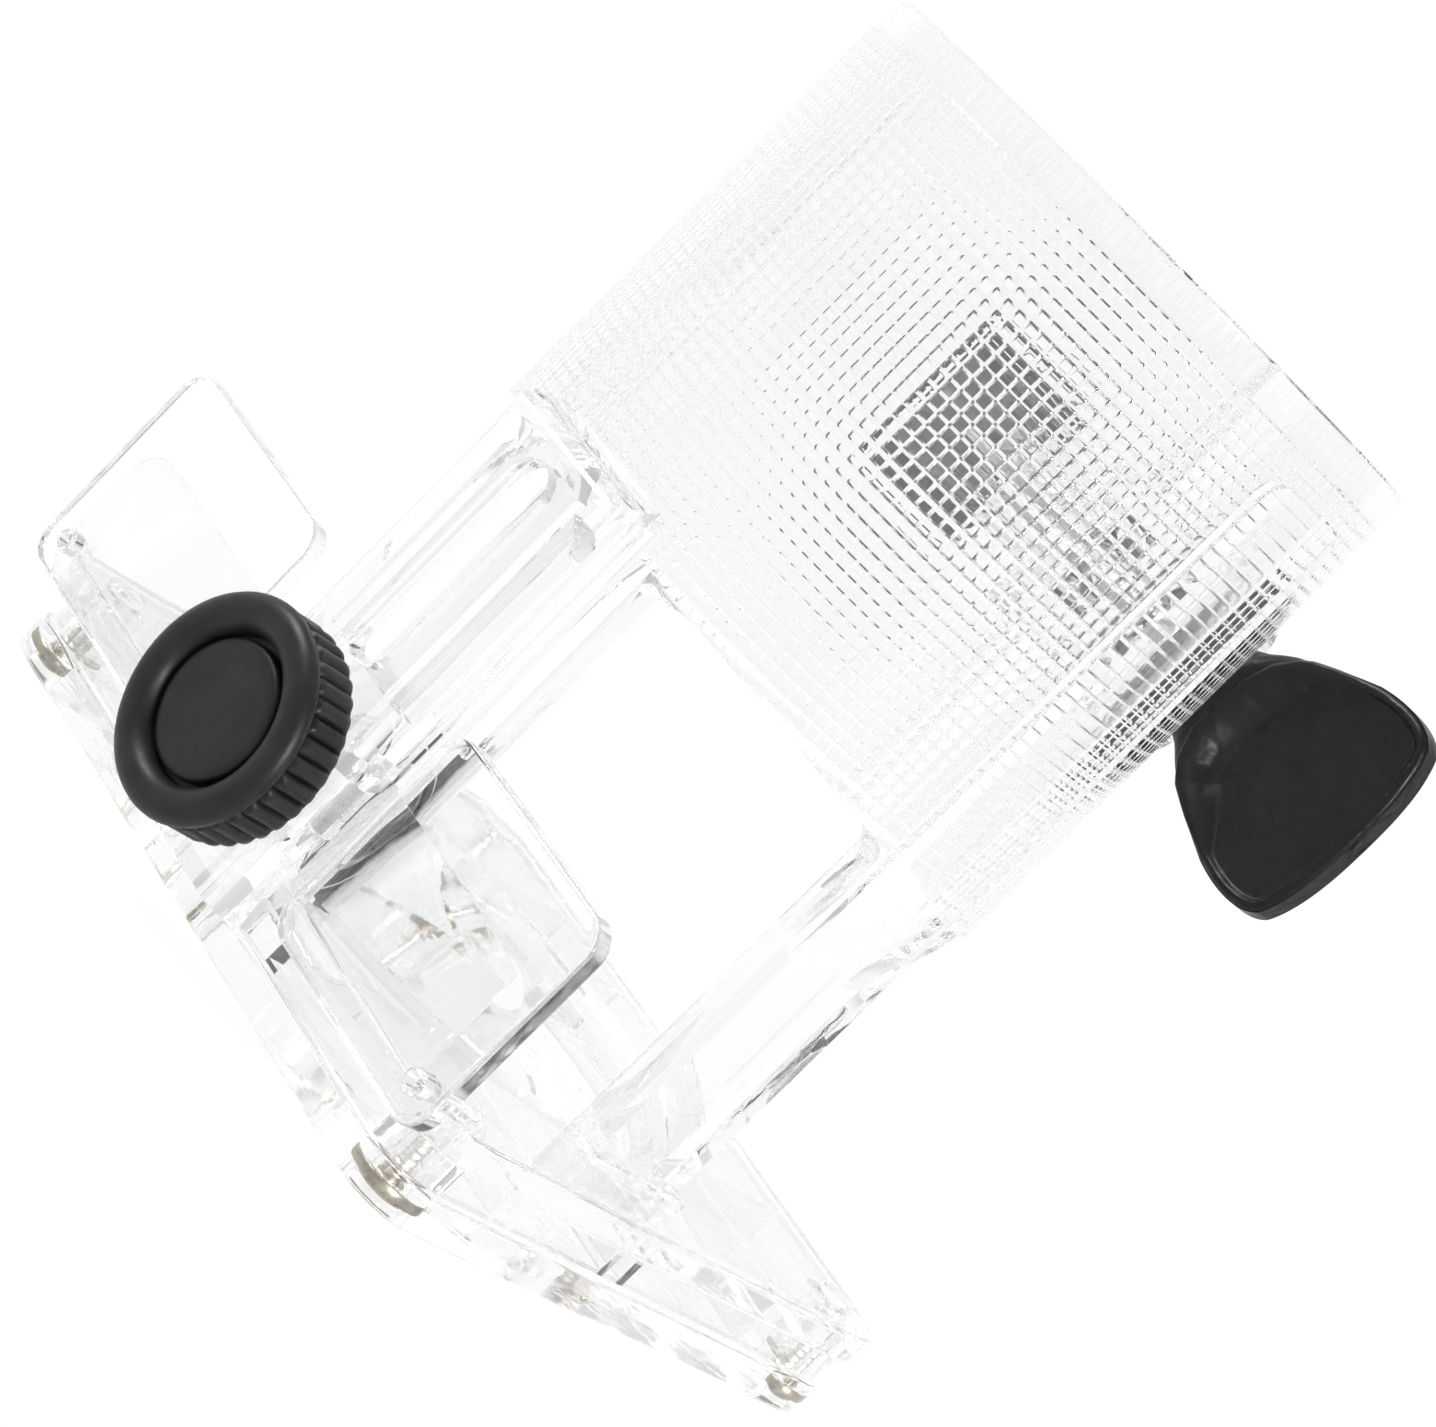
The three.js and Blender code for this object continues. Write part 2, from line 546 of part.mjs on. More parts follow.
const blockX1 = EAR_FAR_X - GAP;
const blockX0 = blockX1 - 11.0;
function clampBlock() {
  const body = alongX(roundRect(35.5, 48.5, CLAMP_Z - 9.9, CLAMP_Z + 10.3, 1.0), blockX0, blockX1, 4);
  const bore = rod(M5_HOLE_R, blockX0 + 1.2, blockX1 + 1, 'x', [0, CLAMP_Y, CLAMP_Z], 24);
  const pocket = alongX(shifted(hexagon(M5_POCKET), CLAMP_Y, CLAMP_Z), blockX1 - 4.6, blockX1 + 1);
  return body.subtract(join(bore, pocket));
}
place('clamp_block', clampBlock(), black);

const nut = alongX(shifted(hexagon(M5_NUT), CLAMP_Y, CLAMP_Z), blockX1 - 4.3, blockX1 - 0.3);
place('clamp_nut', nut.subtract(rod(M5_HOLE_R, -50, 0, 'x', [0, CLAMP_Y, CLAMP_Z], 24)), steel);

// ---------------------------------------------------------------- origin: under the middle of the whole box
const bounds = new THREE.Box3().setFromObject(group);
const middle = bounds.getCenter(new THREE.Vector3());
for (const mesh of group.children) mesh.geometry.translate(-middle.x, -middle.y, -bounds.min.z);

export default group;
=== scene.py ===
"""Looks for the clear router base: detailed pieces in place of the plain frame solids, their materials,
a pale floor, soft light and the camera. Everything in the shape code is in millimetres, measured from the
collar's axis with z up from the floor; put() turns a finished body into metres in the frame."""
import math

import bmesh
import bpy
import numpy as np
from mathutils import Matrix, Vector


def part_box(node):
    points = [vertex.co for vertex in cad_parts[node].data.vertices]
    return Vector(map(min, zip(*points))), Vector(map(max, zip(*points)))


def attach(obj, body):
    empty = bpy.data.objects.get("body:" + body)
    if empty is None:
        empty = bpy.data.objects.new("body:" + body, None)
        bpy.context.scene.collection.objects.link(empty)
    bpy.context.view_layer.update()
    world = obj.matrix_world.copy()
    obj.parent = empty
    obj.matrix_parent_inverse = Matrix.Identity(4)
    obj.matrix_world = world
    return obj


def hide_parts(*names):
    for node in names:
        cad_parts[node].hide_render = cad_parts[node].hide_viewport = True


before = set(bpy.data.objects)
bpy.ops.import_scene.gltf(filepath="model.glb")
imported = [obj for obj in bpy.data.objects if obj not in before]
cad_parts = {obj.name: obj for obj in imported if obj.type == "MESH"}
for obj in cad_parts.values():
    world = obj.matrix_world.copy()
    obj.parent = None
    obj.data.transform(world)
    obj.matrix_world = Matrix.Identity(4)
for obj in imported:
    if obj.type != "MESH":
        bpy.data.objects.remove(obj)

scene = bpy.context.scene
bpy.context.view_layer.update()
MM, METRE = 0.001, 1000          # a millimetre in the frame's metres, and a metre in millimetres

# ------------------------------------------------------------------ where the frame's pieces are
SET_BACK = 3.55                  # from the middle of the sole forward to the collar's axis
_lo, _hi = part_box("sole_plate")
AXIS_Y = METRE * (_lo[1] + _hi[1]) / 2 - SET_BACK


def span(node):
    """The low and high corners of a frame node, in millimetres from the collar's axis."""
    lo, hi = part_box(node)
    shift = np.array([0.0, AXIS_Y, 0.0])
    return METRE * np.array(lo) - shift, METRE * np.array(hi) - shift


_, house_hi = span("housing")
sole_lo, sole_hi = span("sole_plate")
knob_lo, knob_hi = span("thumb_knob")
paddle_lo, paddle_hi = span("clamp_paddle")
block_lo, block_hi = span("clamp_block")

# the collar: its bore, its plain band, and its grip's radius at the top and at the lower edge
BORE_R, RIM_R = 32.5, 35.0
GRIP_TOP_R, GRIP_LOW_R = 35.35, 35.9
TOP_Z = house_hi[2]
BAND_Z = TOP_Z - 4.1             # the grip below, a plain band above
EDGE_Z, EDGE_FALL = 51.6, 0.14   # the lower edge at the axis, and its fall per mm towards the back
SPLIT_X = 4.2                    # half the width of the split
# the foot: wall, overhanging lip and the round openings through them
FOOT_X, FOOT_Y0, FOOT_Y1 = sole_hi[0], sole_lo[1], sole_hi[1]
SOLE_T = sole_hi[2]
MID_Z0, LIP_Z0, LIP_Z1 = SOLE_T + 0.3, 8.0, 11.4
OPENING_R, CUTTER_R = 30.5, 17.0
RIB = 1.2                        # thickness of the ribs
# the legs, the strips up them from inside to face and top, and the front column with its webs
LEG_Y0, LEG_Y1, LEG_R = -6.7, 7.4, 35.7
PAD_X0, PAD_X, PAD_Z1 = 33.2, 36.4, 103.6
TOWER_X, TOWER_Y, TOWER_Z1, WEB_X = 10.1, -40.5, 60.0, 13.0
TOWER_WALL = 2.4
# the two screws and the holes they pass through
THUMB_Z = (knob_lo[2] + knob_hi[2]) / 2
THUMB_BACK = knob_hi[1]
THUMB_AT, THUMB_HOLE_R = (0, THUMB_Z), 3.25
CLAMP_Y = (paddle_lo[1] + paddle_hi[1]) / 2
CLAMP_Z = (paddle_lo[2] + paddle_hi[2]) / 2
HUB_X, PADDLE_X1 = paddle_lo[0], paddle_hi[0]
CLAMP_AT, CLAMP_HOLE_R = (CLAMP_Y, CLAMP_Z), 2.75
STUD_X, STUD_Z = 41.4, 12.2      # the studs that hold the shields
SOLE_HOLE_R, SEAT_R, SEAT_Z = 1.8, 3.1, 2.3   # under the sole screws' heads
SCREWS = [("front_left", -39.0, -29.5), ("front_right", 39.0, -29.5),
          ("back_left", -39.0, 37.3), ("back_right", 39.0, 37.3)]


def edge_z(y):
    """The height of the collar's sloping lower edge."""
    return EDGE_Z - EDGE_FALL * y


# ------------------------------------------------------------------ shape tools
# A shape is drawn flat in u and v and raised in h; these say which way its h runs.
def z_up(u, v, h):
    return (u, v, h)


def along_y(u, v, h):
    return (u, h, v)


def along_x(u, v, h):
    return (h, u, v)


def body(verts, faces):
    """A closed body from corner points and faces, its normals outward."""
    me = bpy.data.meshes.new("body")
    me.from_pydata([tuple(map(float, p)) for p in verts], [], faces)
    bm = bmesh.new()
    bm.from_mesh(me)
    bmesh.ops.remove_doubles(bm, verts=bm.verts, dist=1e-4)
    bmesh.ops.triangulate(bm, faces=[f for f in bm.faces if len(f.verts) > 4])
    bmesh.ops.recalc_face_normals(bm, faces=bm.faces)
    bm.to_mesh(me)
    bm.free()
    ob = bpy.data.objects.new("body", me)
    scene.collection.objects.link(ob)
    return ob


def drop(ob):
    me = ob.data
    bpy.data.objects.remove(ob)
    bpy.data.meshes.remove(me)


def combine(a, b, how):
    """a joined with, cut by or limited to b, as one closed body. b is used up. The quick solver goes first;
    the exact one takes over where it gives nothing."""
    for solver in ("MANIFOLD", "EXACT"):
        mod = a.modifiers.new("op", "BOOLEAN")
        mod.object, mod.operation, mod.solver = b, how, solver
        dg = bpy.context.evaluated_depsgraph_get()
        me = bpy.data.meshes.new_from_object(a.evaluated_get(dg))
        a.modifiers.clear()
        if len(me.polygons):
            break
    old = a.data
    a.data = me
    bpy.data.meshes.remove(old)
    drop(b)
    return a


def join(first, *rest):
    for b in rest:
        first = combine(first, b, "UNION")
    return first


def cut(a, *tools):
    for b in tools:
        a = combine(a, b, "DIFFERENCE")
    return a


def keep(a, *tools):
    for b in tools:
        a = combine(a, b, "INTERSECT")
    return a


def loft(rings, closed=False):
    """Skins equal-length rings of points; the ends are capped unless the rings close on themselves."""
    n, m = len(rings[0]), len(rings)
    verts = [p for ring in rings for p in ring]
    faces = []
    for i in range(m if closed else m - 1):
        a, b = i * n, ((i + 1) % m) * n
        faces += [(a + j, a + (j + 1) % n, b + (j + 1) % n, b + j) for j in range(n)]
    if not closed:
        faces += [tuple(reversed(range(n))), tuple(range((m - 1) * n, m * n))]
    return body(verts, faces)


def inset(outline, d):
    """The outline moved inward by d, corner for corner."""
    p = np.array(outline, float)
    e1 = p - np.roll(p, 1, 0)
    e2 = np.roll(p, -1, 0) - p
    e1 /= np.linalg.norm(e1, axis=1)[:, None]
    e2 /= np.linalg.norm(e2, axis=1)[:, None]
    n1 = np.stack([e1[:, 1], -e1[:, 0]], 1)
    n2 = np.stack([e2[:, 1], -e2[:, 0]], 1)
    turn = 1 + np.sum(n1 * n2, axis=1)[:, None]
    return p - d * (n1 + n2) / np.maximum(turn, 0.3)


def slab(outline, a, b, ease, to=z_up, steps=5):
    """A plate of any outline between heights a and b, with its edges rounded by ease."""
    if ease <= 0:
        levels = [(0.0, a), (0.0, b)]
    else:
        arc = [math.pi / 2 * k / steps for k in range(steps + 1)]
        low = [(ease * (1 - math.sin(t)), a + ease * (1 - math.cos(t))) for t in arc]
        levels = low + [(d, a + b - h) for d, h in reversed(low)]
    return loft([[to(u, v, h) for u, v in inset(outline, d)] for d, h in levels])


def round_rect(x0, x1, y0, y1, r, n=8):
    pts = []
    corners = ((x1 - r, y0 + r, -90), (x1 - r, y1 - r, 0), (x0 + r, y1 - r, 90), (x0 + r, y0 + r, 180))
    for cx, cy, start in corners:
        for k in range(n + 1):
            t = math.radians(start + 90 * k / n)
            pts.append((cx + r * math.cos(t), cy + r * math.sin(t)))
    return pts


def quad(p0, p1, p2, n=6):
    """Points along a curve from p0, which is left out, to p2."""
    ts = [k / n for k in range(1, n + 1)]
    return [tuple((1 - t) ** 2 * a + 2 * t * (1 - t) * b + t * t * c
                  for a, b, c in zip(p0, p1, p2)) for t in ts]


def cubic(p0, p1, p2, p3, n):
    """Points along a curve from p0, which is left out, to p3."""
    ts = [k / n for k in range(1, n + 1)]
    return [tuple((1 - t) ** 3 * a + 3 * t * (1 - t) ** 2 * b + 3 * t * t * (1 - t) * c + t ** 3 * d
                  for a, b, c, d in zip(p0, p1, p2, p3)) for t in ts]


def box(x0, x1, y0, y1, z0, z1, ease=0.0):
    return slab([(x0, y0), (x1, y0), (x1, y1), (x0, y1)], z0, z1, ease, z_up, 2)


def turned(profile, centre, to=z_up, facets=64, closed=False):
    """A body of revolution. profile is (radius, height) pairs, centre is where radius is measured from."""
    cu, cv = centre
    rings = []
    for r, h in profile:
        ring = []
        for k in range(facets):
            t = 2 * math.pi * k / facets
            ring.append(to(cu + max(r, 1e-6) * math.cos(t), cv + max(r, 1e-6) * math.sin(t), h))
        rings.append(ring)
    return loft(rings, closed)


def rod(r, a, b, centre, to=z_up, facets=64, ease=0.0):
    """A round bar from height a to height b, its ends chamfered by ease."""
    if ease:
        return turned([(r - ease, a), (r, a + ease), (r, b - ease), (r - ease, b)], centre, to, facets)
    return turned([(r, a), (r, b)], centre, to, facets)


def hexagon(across_flats, cu, cv):
    r = across_flats / math.sqrt(3)
    turns = [math.radians(60 * k + 30) for k in range(6)]
    return [(cu + r * math.cos(t), cv + r * math.sin(t)) for t in turns]


ROOT_WIDTH = 1.25                # above 1, a thread's root is flat


def threaded(r, depth, pitch, a, b, centre, to, facets, per_turn=6):
    """A screw's shank: a helical ridge of 60 degree form, fading into plain ends."""
    cu, cv = centre
    rows = int((b - a) / pitch * per_turn)
    rings = []
    for i in range(rows + 1):
        h = a + (b - a) * i / rows
        fade = min(1.0, (h - a) / pitch, (b - h) / pitch)
        ring = []
        for k in range(facets):
            t = 2 * math.pi * k / facets
            phase = (h / pitch - k / facets) % 1.0
            groove = abs(2 * phase - 1)
            rr = r - depth * (1 - fade) - depth * fade * min(1.0, ROOT_WIDTH * groove)
            ring.append(to(cu + rr * math.cos(t), cv + rr * math.sin(t), h))
        rings.append(ring)
    return loft(rings)


NORMAL_WEIGHT = 80               # how far a corner's shading follows the larger faces round it


def put(ob, name, material, node_body, nodes, crease, shadow=True):
    """Finishes a body: metres, shading, material, and the frame nodes it stands for."""
    ob.name = name
    ob.data.name = name
    ob.data.transform(Matrix.Translation((0, AXIS_Y * MM, 0)) @ Matrix.Scale(MM, 4))
    ob.data.polygons.foreach_set("use_smooth", [True] * len(ob.data.polygons))
    ob.data.set_sharp_from_angle(angle=math.radians(crease))
    ob.data.update()
    mod = ob.modifiers.new("normals", "WEIGHTED_NORMAL")
    mod.keep_sharp = True
    mod.weight = NORMAL_WEIGHT
    ob.data.materials.clear()
    ob.data.materials.append(material)
    ob.visible_shadow = shadow
    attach(ob, node_body)
    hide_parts(*nodes)


# ------------------------------------------------------------------ materials
class Look:
    """A node material with helpers for procedural detail."""

    def __init__(self, name):
        self.material = bpy.data.materials.new(name)
        self.material.use_nodes = True
        self.tree = self.material.node_tree
        self.shader = self.tree.nodes["Principled BSDF"]
        self.coords = self.tree.nodes.new("ShaderNodeTexCoord").outputs["Object"]

    def set(self, **values):
        for key, value in values.items():
            self.shader.inputs[key.replace("_", " ")].default_value = value

    def node(self, kind, **props):
        n = self.tree.nodes.new(kind)
        for key, value in props.items():
            setattr(n, key, value)
        return n

    def link(self, a, b):
        self.tree.links.new(a, b)

    def stretch(self, x, y, z):
        n = self.node("ShaderNodeMapping")
        n.inputs["Scale"].default_value = (x, y, z)
        self.link(self.coords, n.inputs["Vector"])
        return n.outputs["Vector"]

    def noise(self, scale, detail, rough=0.55, distort=0.0, vector=None):
        n = self.node("ShaderNodeTexNoise")
        n.inputs["Scale"].default_value = scale
        n.inputs["Detail"].default_value = detail
        n.inputs["Roughness"].default_value = rough
        n.inputs["Distortion"].default_value = distort
        self.link(vector or self.coords, n.inputs["Vector"])
        return n.outputs["Fac"]

    def span(self, value, a, b, to_a, to_b):
        """Maps a value that runs from a to b onto to_a to to_b."""
        n = self.node("ShaderNodeMapRange")
        for key, v in (("From Min", a), ("From Max", b), ("To Min", to_a), ("To Max", to_b)):
            n.inputs[key].default_value = v
        self.link(value, n.inputs["Value"])
        return n.outputs["Result"]

    def colours(self, value, stops):
        """Sets the base colour from a value, by stops of (value, colour)."""
        n = self.node("ShaderNodeValToRGB")
        ramp = n.color_ramp
        for i, (at, colour) in enumerate(stops):
            stop = ramp.elements[i] if i < 2 else ramp.elements.new(at)
            stop.position, stop.color = at, (*colour, 1)
        self.link(value, n.inputs["Fac"])
        self.link(n.outputs["Color"], self.shader.inputs["Base Color"])

    def rough(self, value):
        self.link(value, self.shader.inputs["Roughness"])

    def bump(self, *layers):
        """Each layer is (height, strength, depth in metres), stacked on the ones before."""
        last = None
        for height, strength, depth in layers:
            n = self.node("ShaderNodeBump")
            n.inputs["Strength"].default_value = strength
            n.inputs["Distance"].default_value = depth
            self.link(height, n.inputs["Height"])
            if last:
                self.link(last, n.inputs["Normal"])
            last = n.outputs["Normal"]
        self.link(last, self.shader.inputs["Normal"])


WAVE_DEPTH, LUMP_DEPTH, FINE_DEPTH = 0.0004, 0.001, 0.00005   # of the materials' bumps, in metres


def clear_plastic(name, low, high, rough, wave, wave_scale):
    """Clear moulded plastic: faintly uneven in tint, hazed in patches up to rough, and slightly wavy."""
    k = Look(name)
    k.set(Transmission_Weight=1.0, IOR=1.49, Specular_IOR_Level=0.5)
    k.colours(k.noise(45, 4, 0.6, 0.8), [(0.3, low), (0.7, high)])
    k.rough(k.span(k.noise(160, 4, 0.65), 0.45, 0.75, 0.0, rough))
    k.bump((k.noise(wave_scale, 2, 0.5, 1.2), wave, WAVE_DEPTH), (k.noise(900, 2), 0.01, FINE_DEPTH))
    return k.material


clear = clear_plastic("clear_plastic", (0.920, 0.925, 0.925), (0.948, 0.952, 0.952), 0.09, 0.05, 110)
clear_sole = clear_plastic("clear_sole", (0.915, 0.922, 0.919), (0.945, 0.950, 0.948), 0.16, 0.09, 140)
clear_shield = clear_plastic("clear_shield", (0.930, 0.933, 0.933), (0.952, 0.955, 0.955), 0.12, 0.05, 60)


def black_plastic(name, grain, lumps, gloss=0.24, tone=1.0, size=110, bend=1.5, sheen=0.34):
    """Black moulded plastic. grain and lumps are bump strengths, size and bend the scale and twist of the
    lumps, tone darkens the colour, and sheen is the roughness where it is glossiest."""
    k = Look(name)
    k.set(Specular_IOR_Level=gloss, IOR=1.5)
    dark, light = [(g * tone, g * tone, g * tone * 1.04) for g in (0.006, 0.014)]
    k.colours(k.noise(260, 5, 0.6), [(0.3, dark), (0.75, light)])
    k.rough(k.span(k.noise(420, 4, 0.6), 0.3, 0.7, sheen, sheen + 0.16))
    k.bump((k.noise(size, 2, 0.5, bend), lumps, LUMP_DEPTH), (k.noise(2200, 3, 0.6), grain, FINE_DEPTH))
    return k.material


black = black_plastic("black_plastic", 0.22, 0.05)
black_cap = black_plastic("black_cap", 0.14, 0.10)
black_pad = black_plastic("black_pad", 0.26, 0.34, gloss=0.22, tone=0.35, size=240, bend=0.6, sheen=0.27)

METAL_GRAIN = 0.08
PLATING = [(0.0, (0.25, 0.225, 0.19)), (0.25, (0.46, 0.415, 0.35)), (1.0, (0.78, 0.77, 0.75))]
PALE_FROM, PALE_TO = 0.0020, 0.0030   # the heights, in metres, between which the shank pales


def bright_steel():
    """Plain steel with a faint grain drawn out along x."""
    k = Look("steel")
    k.set(Metallic=1.0)
    vec = k.stretch(0.3, 1, 1)
    k.colours(k.noise(300, 4, 0.6, 0.0, vec), [(0.3, (0.42, 0.42, 0.43)), (0.7, (0.62, 0.62, 0.62))])
    k.rough(k.span(k.noise(500, 3, 0.6, 0.0, vec), 0.3, 0.7, 0.20, 0.36))
    k.bump((k.noise(1500, 2, 0.5, 0.0, vec), METAL_GRAIN, FINE_DEPTH))
    return k.material


def screw_metal():
    """Dull tan plating on the head, paling along the shank."""
    k = Look("screw_metal")
    k.set(Metallic=1.0)
    parts = k.node("ShaderNodeSeparateXYZ")
    k.link(k.coords, parts.inputs["Vector"])
    height = k.span(parts.outputs["Z"], PALE_FROM, PALE_TO, 0.0, 0.75)
    mottle = k.node("ShaderNodeMath", operation="ADD")
    k.link(height, mottle.inputs[0])
    k.link(k.span(k.noise(500, 4, 0.6), 0.3, 0.7, 0.0, 0.25), mottle.inputs[1])
    k.colours(mottle.outputs["Value"], PLATING)
    k.rough(k.span(k.noise(900, 3), 0.3, 0.7, 0.22, 0.40))
    k.bump((k.noise(1500, 2), METAL_GRAIN, FINE_DEPTH))
    return k.material


brass = screw_metal()
steel = bright_steel()

# ------------------------------------------------------------------ housing
GRIP_CELLS, GRIP_ROWS = 150, 42  # pillows round the collar, and rows of them down it
GRIP_PITCH = 1.49                # from row to row
GRIP_RISE, STRIP_RISE = 0.125, 0.07
SHOULDER = 0.62                  # how high a pillow's rounded edge stands, halfway up its side
PILLOW = ((0.0, 0.0), (0.09, SHOULDER), (0.18, 1.0), (0.82, 1.0), (0.91, SHOULDER))   # (way across, height)
CORNER_DIP = 0.3                 # how much lower the edge is at a pillow's corners
ROW_DEPTH, COLUMN_DEPTH = 0.80, 0.72   # how deep the grooves are, as a share of the rise


def grip_tube():
    """The upper collar: a plain band over rows of rounded square pillows."""
    around = np.array([(i + f) / GRIP_CELLS * 2 * math.pi for i in range(GRIP_CELLS) for f, _ in PILLOW])
    column = np.array([s for _ in range(GRIP_CELLS) for _, s in PILLOW])
    low = 1 - COLUMN_DEPTH * (1 - column)
    inner = BORE_R - 1.0
    rows = [(inner, TOP_Z, 0.0), (RIM_R - 0.7, TOP_Z, 0.0), (RIM_R - 0.33, TOP_Z - 0.1, 0.0),
            (RIM_R - 0.1, TOP_Z - 0.33, 0.0), (RIM_R, TOP_Z - 0.7, 0.0),
            (RIM_R, BAND_Z + 0.2, 0.0), (GRIP_TOP_R, BAND_Z, 0.0)]
    for i in range(GRIP_ROWS):
        for f, s in PILLOW:
            z = BAND_Z - (i + f) * GRIP_PITCH
            if i == 0 and f == 0:
                continue         # the band's own lower edge is already there
            r = GRIP_TOP_R + (BAND_Z - z) * (GRIP_LOW_R - GRIP_TOP_R) / (BAND_Z - EDGE_Z)
            rows.append((r, z, s))
    rows.append((inner, rows[-1][1], 0.0))
    rings = []
    for r, z, s in rows:
        s_row = 1 - ROW_DEPTH * (1 - s) if z < BAND_Z else s
        corner = CORNER_DIP * (s == SHOULDER) * (column == SHOULDER)
        rr = r + GRIP_RISE * np.clip(s_row * low - corner, 0, 1)
        rings.append(list(zip(rr * np.cos(around), rr * np.sin(around), np.full(len(around), z))))
    return loft(rings, closed=True)


def front_window(x0, x1):
    """The opening between a leg and the column, rounded at its top corners."""
    y_in = -33.5
    s = [(LEG_Y0, LIP_Z1), (LEG_Y0, edge_z(LEG_Y0) - 2)]
    s += quad(s[-1], (LEG_Y0, edge_z(LEG_Y0)), (LEG_Y0 - 2, edge_z(LEG_Y0 - 2)))
    s += [(y_in + 4, edge_z(y_in + 4))]
    s += quad(s[-1], (y_in + 1, edge_z(y_in + 1)), (y_in, edge_z(y_in) - 3))
    s += [(y_in - 6, edge_z(y_in) - 12), (y_in - 6, LIP_Z1)]
    return slab(s, x0, x1, 0, along_x)


def rear_window():
    """The opening behind both legs, its top swept into the collar's lower edge."""
    s = [(LEG_Y1, LIP_Z1), (LEG_Y1, 37)]
    s += cubic(s[-1], (LEG_Y1 + 0.5, 43), (LEG_Y1 + 5, edge_z(20) - 1), (LEG_Y1 + 11, edge_z(20)), 14)
    s += [(50, edge_z(50)), (50, LIP_Z1)]
    return slab(s, -50, 50, 0, along_x)


STEP_X = 37.6                    # how far out the step under each strip reaches


def strip(sign):
    """The flat strip up one side: smooth on the leg, then crossed by the grip's rows up to its round top."""
    levels = [(LIP_Z1 - 1, 0.0), (edge_z(0), 0.0)]
    rows = int((BAND_Z - edge_z(0)) / GRIP_PITCH)
    for i in reversed(range(rows)):
        for f, s in reversed(PILLOW):
            levels.append((BAND_Z - (i + f) * GRIP_PITCH, -STRIP_RISE * (1 - s)))
    rings = []
    for z, sink in levels:
        if z > PAD_Z1 + 1:
            break
        a, b = sign * PAD_X0, sign * (PAD_X + sink)
        rings.append([(a, LEG_Y0 - 1, z), (b, LEG_Y0 - 1, z), (b, LEG_Y1 + 1, z), (a, LEG_Y1 + 1, z)])
    a, b = sorted((sign * 30.0, sign * 40.0))
    foot_z, mid_z = LIP_Z1 - 2, 40
    arched = slab(round_rect(LEG_Y0, LEG_Y1, foot_z, PAD_Z1, 3.2), a, b, 0, along_x)
    squared = slab([(LEG_Y0, foot_z), (LEG_Y1, foot_z), (LEG_Y1, mid_z), (LEG_Y0, mid_z)], a, b, 0, along_x)
    return keep(loft(rings), join(arched, squared))


def pads():
    """Both strips, each with a low step where it meets the foot."""
    made = [strip(1), strip(-1)]
    for a, b in ((PAD_X0, STEP_X), (-STEP_X, -PAD_X0)):
        made.append(box(a, b, LEG_Y0 - 1, LEG_Y1 + 1, LIP_Z1 - 1, LIP_Z1 + 1, 0.5))
    return made


def parting_lines():
    """Fine moulding lines in the plain band, over the middle of each strip."""
    floor_x = RIM_R - 0.12
    return [box(a, b, 0.6, 0.8, BAND_Z + 0.4, TOP_Z - 0.3) for a, b in ((floor_x, 36), (-36, -floor_x))]


def tower():
    """The front column: its plan with a web each side, under a roof rounded at the front and both ends."""
    r = 2.6
    plan = [(-WEB_X, -33.6)]
    plan += quad(plan[-1], (-TOWER_X, -34.0), (-TOWER_X, -35.6))
    for cx, start in ((-TOWER_X + r, 180), (TOWER_X - r, 270)):
        for k in range(9):
            t = math.radians(start + 90 * k / 8)
            plan.append((cx + r * math.cos(t), TOWER_Y + r + r * math.sin(t)))
    plan += [(TOWER_X, -35.6)]
    plan += quad(plan[-1], (TOWER_X, -34.0), (WEB_X, -33.6))
    plan += [(WEB_X, -30), (-WEB_X, -30)]
    column = slab(plan, MID_Z0, TOWER_Z1 + 1, 0)
    roof = [(-30, MID_Z0 - 1), (-30, TOWER_Z1), (-37.0, TOWER_Z1 - 0.4)]
    roof += quad(roof[-1], (TOWER_Y, TOWER_Z1 - 0.6), (TOWER_Y, TOWER_Z1 - 4.2), 10)
    roof += [(TOWER_Y, MID_Z0 - 1)]
    w, r = WEB_X + 0.01, 4.5
    top = [(-w, MID_Z0 - 1), (w, MID_Z0 - 1), (w, TOWER_Z1 - r)]
    top += quad(top[-1], (w, TOWER_Z1), (w - r, TOWER_Z1), 10)
    top += [(-w + r, TOWER_Z1)]
    top += quad(top[-1], (-w, TOWER_Z1), (-w, TOWER_Z1 - r), 10)
    return keep(column, slab(roof[::-1], -20, 20, 0, along_x), slab(top, -45, -25, 0, along_y))


def tower_cuts():
    """The channel up behind the column's front wall, with an arched top, and the slot through that wall."""
    inner, ceiling = TOWER_X - TOWER_WALL, TOWER_Z1 - TOWER_WALL
    channel = slab(round_rect(-inner, inner, TOWER_Y + TOWER_WALL, -36.2, 0.9), 30.0, ceiling, 0)
    arch = round_rect(-inner - 0.01, inner + 0.01, 20.0, TOWER_Z1 - 2.41, 6.8, 16)
    channel = keep(channel, slab(arch, TOWER_Y, -30, 0, along_y))
    slot = slab(round_rect(-2.9, 2.9, 30.0, 56.0, 2.85, 12), TOWER_Y - 2, -37, 0, along_y)
    return [channel, slot]


FILLET_R, FILLET_U, FILLET_Z = 2.2, 37.8, 61.9   # the fillet's radius, and its centre out from the axis


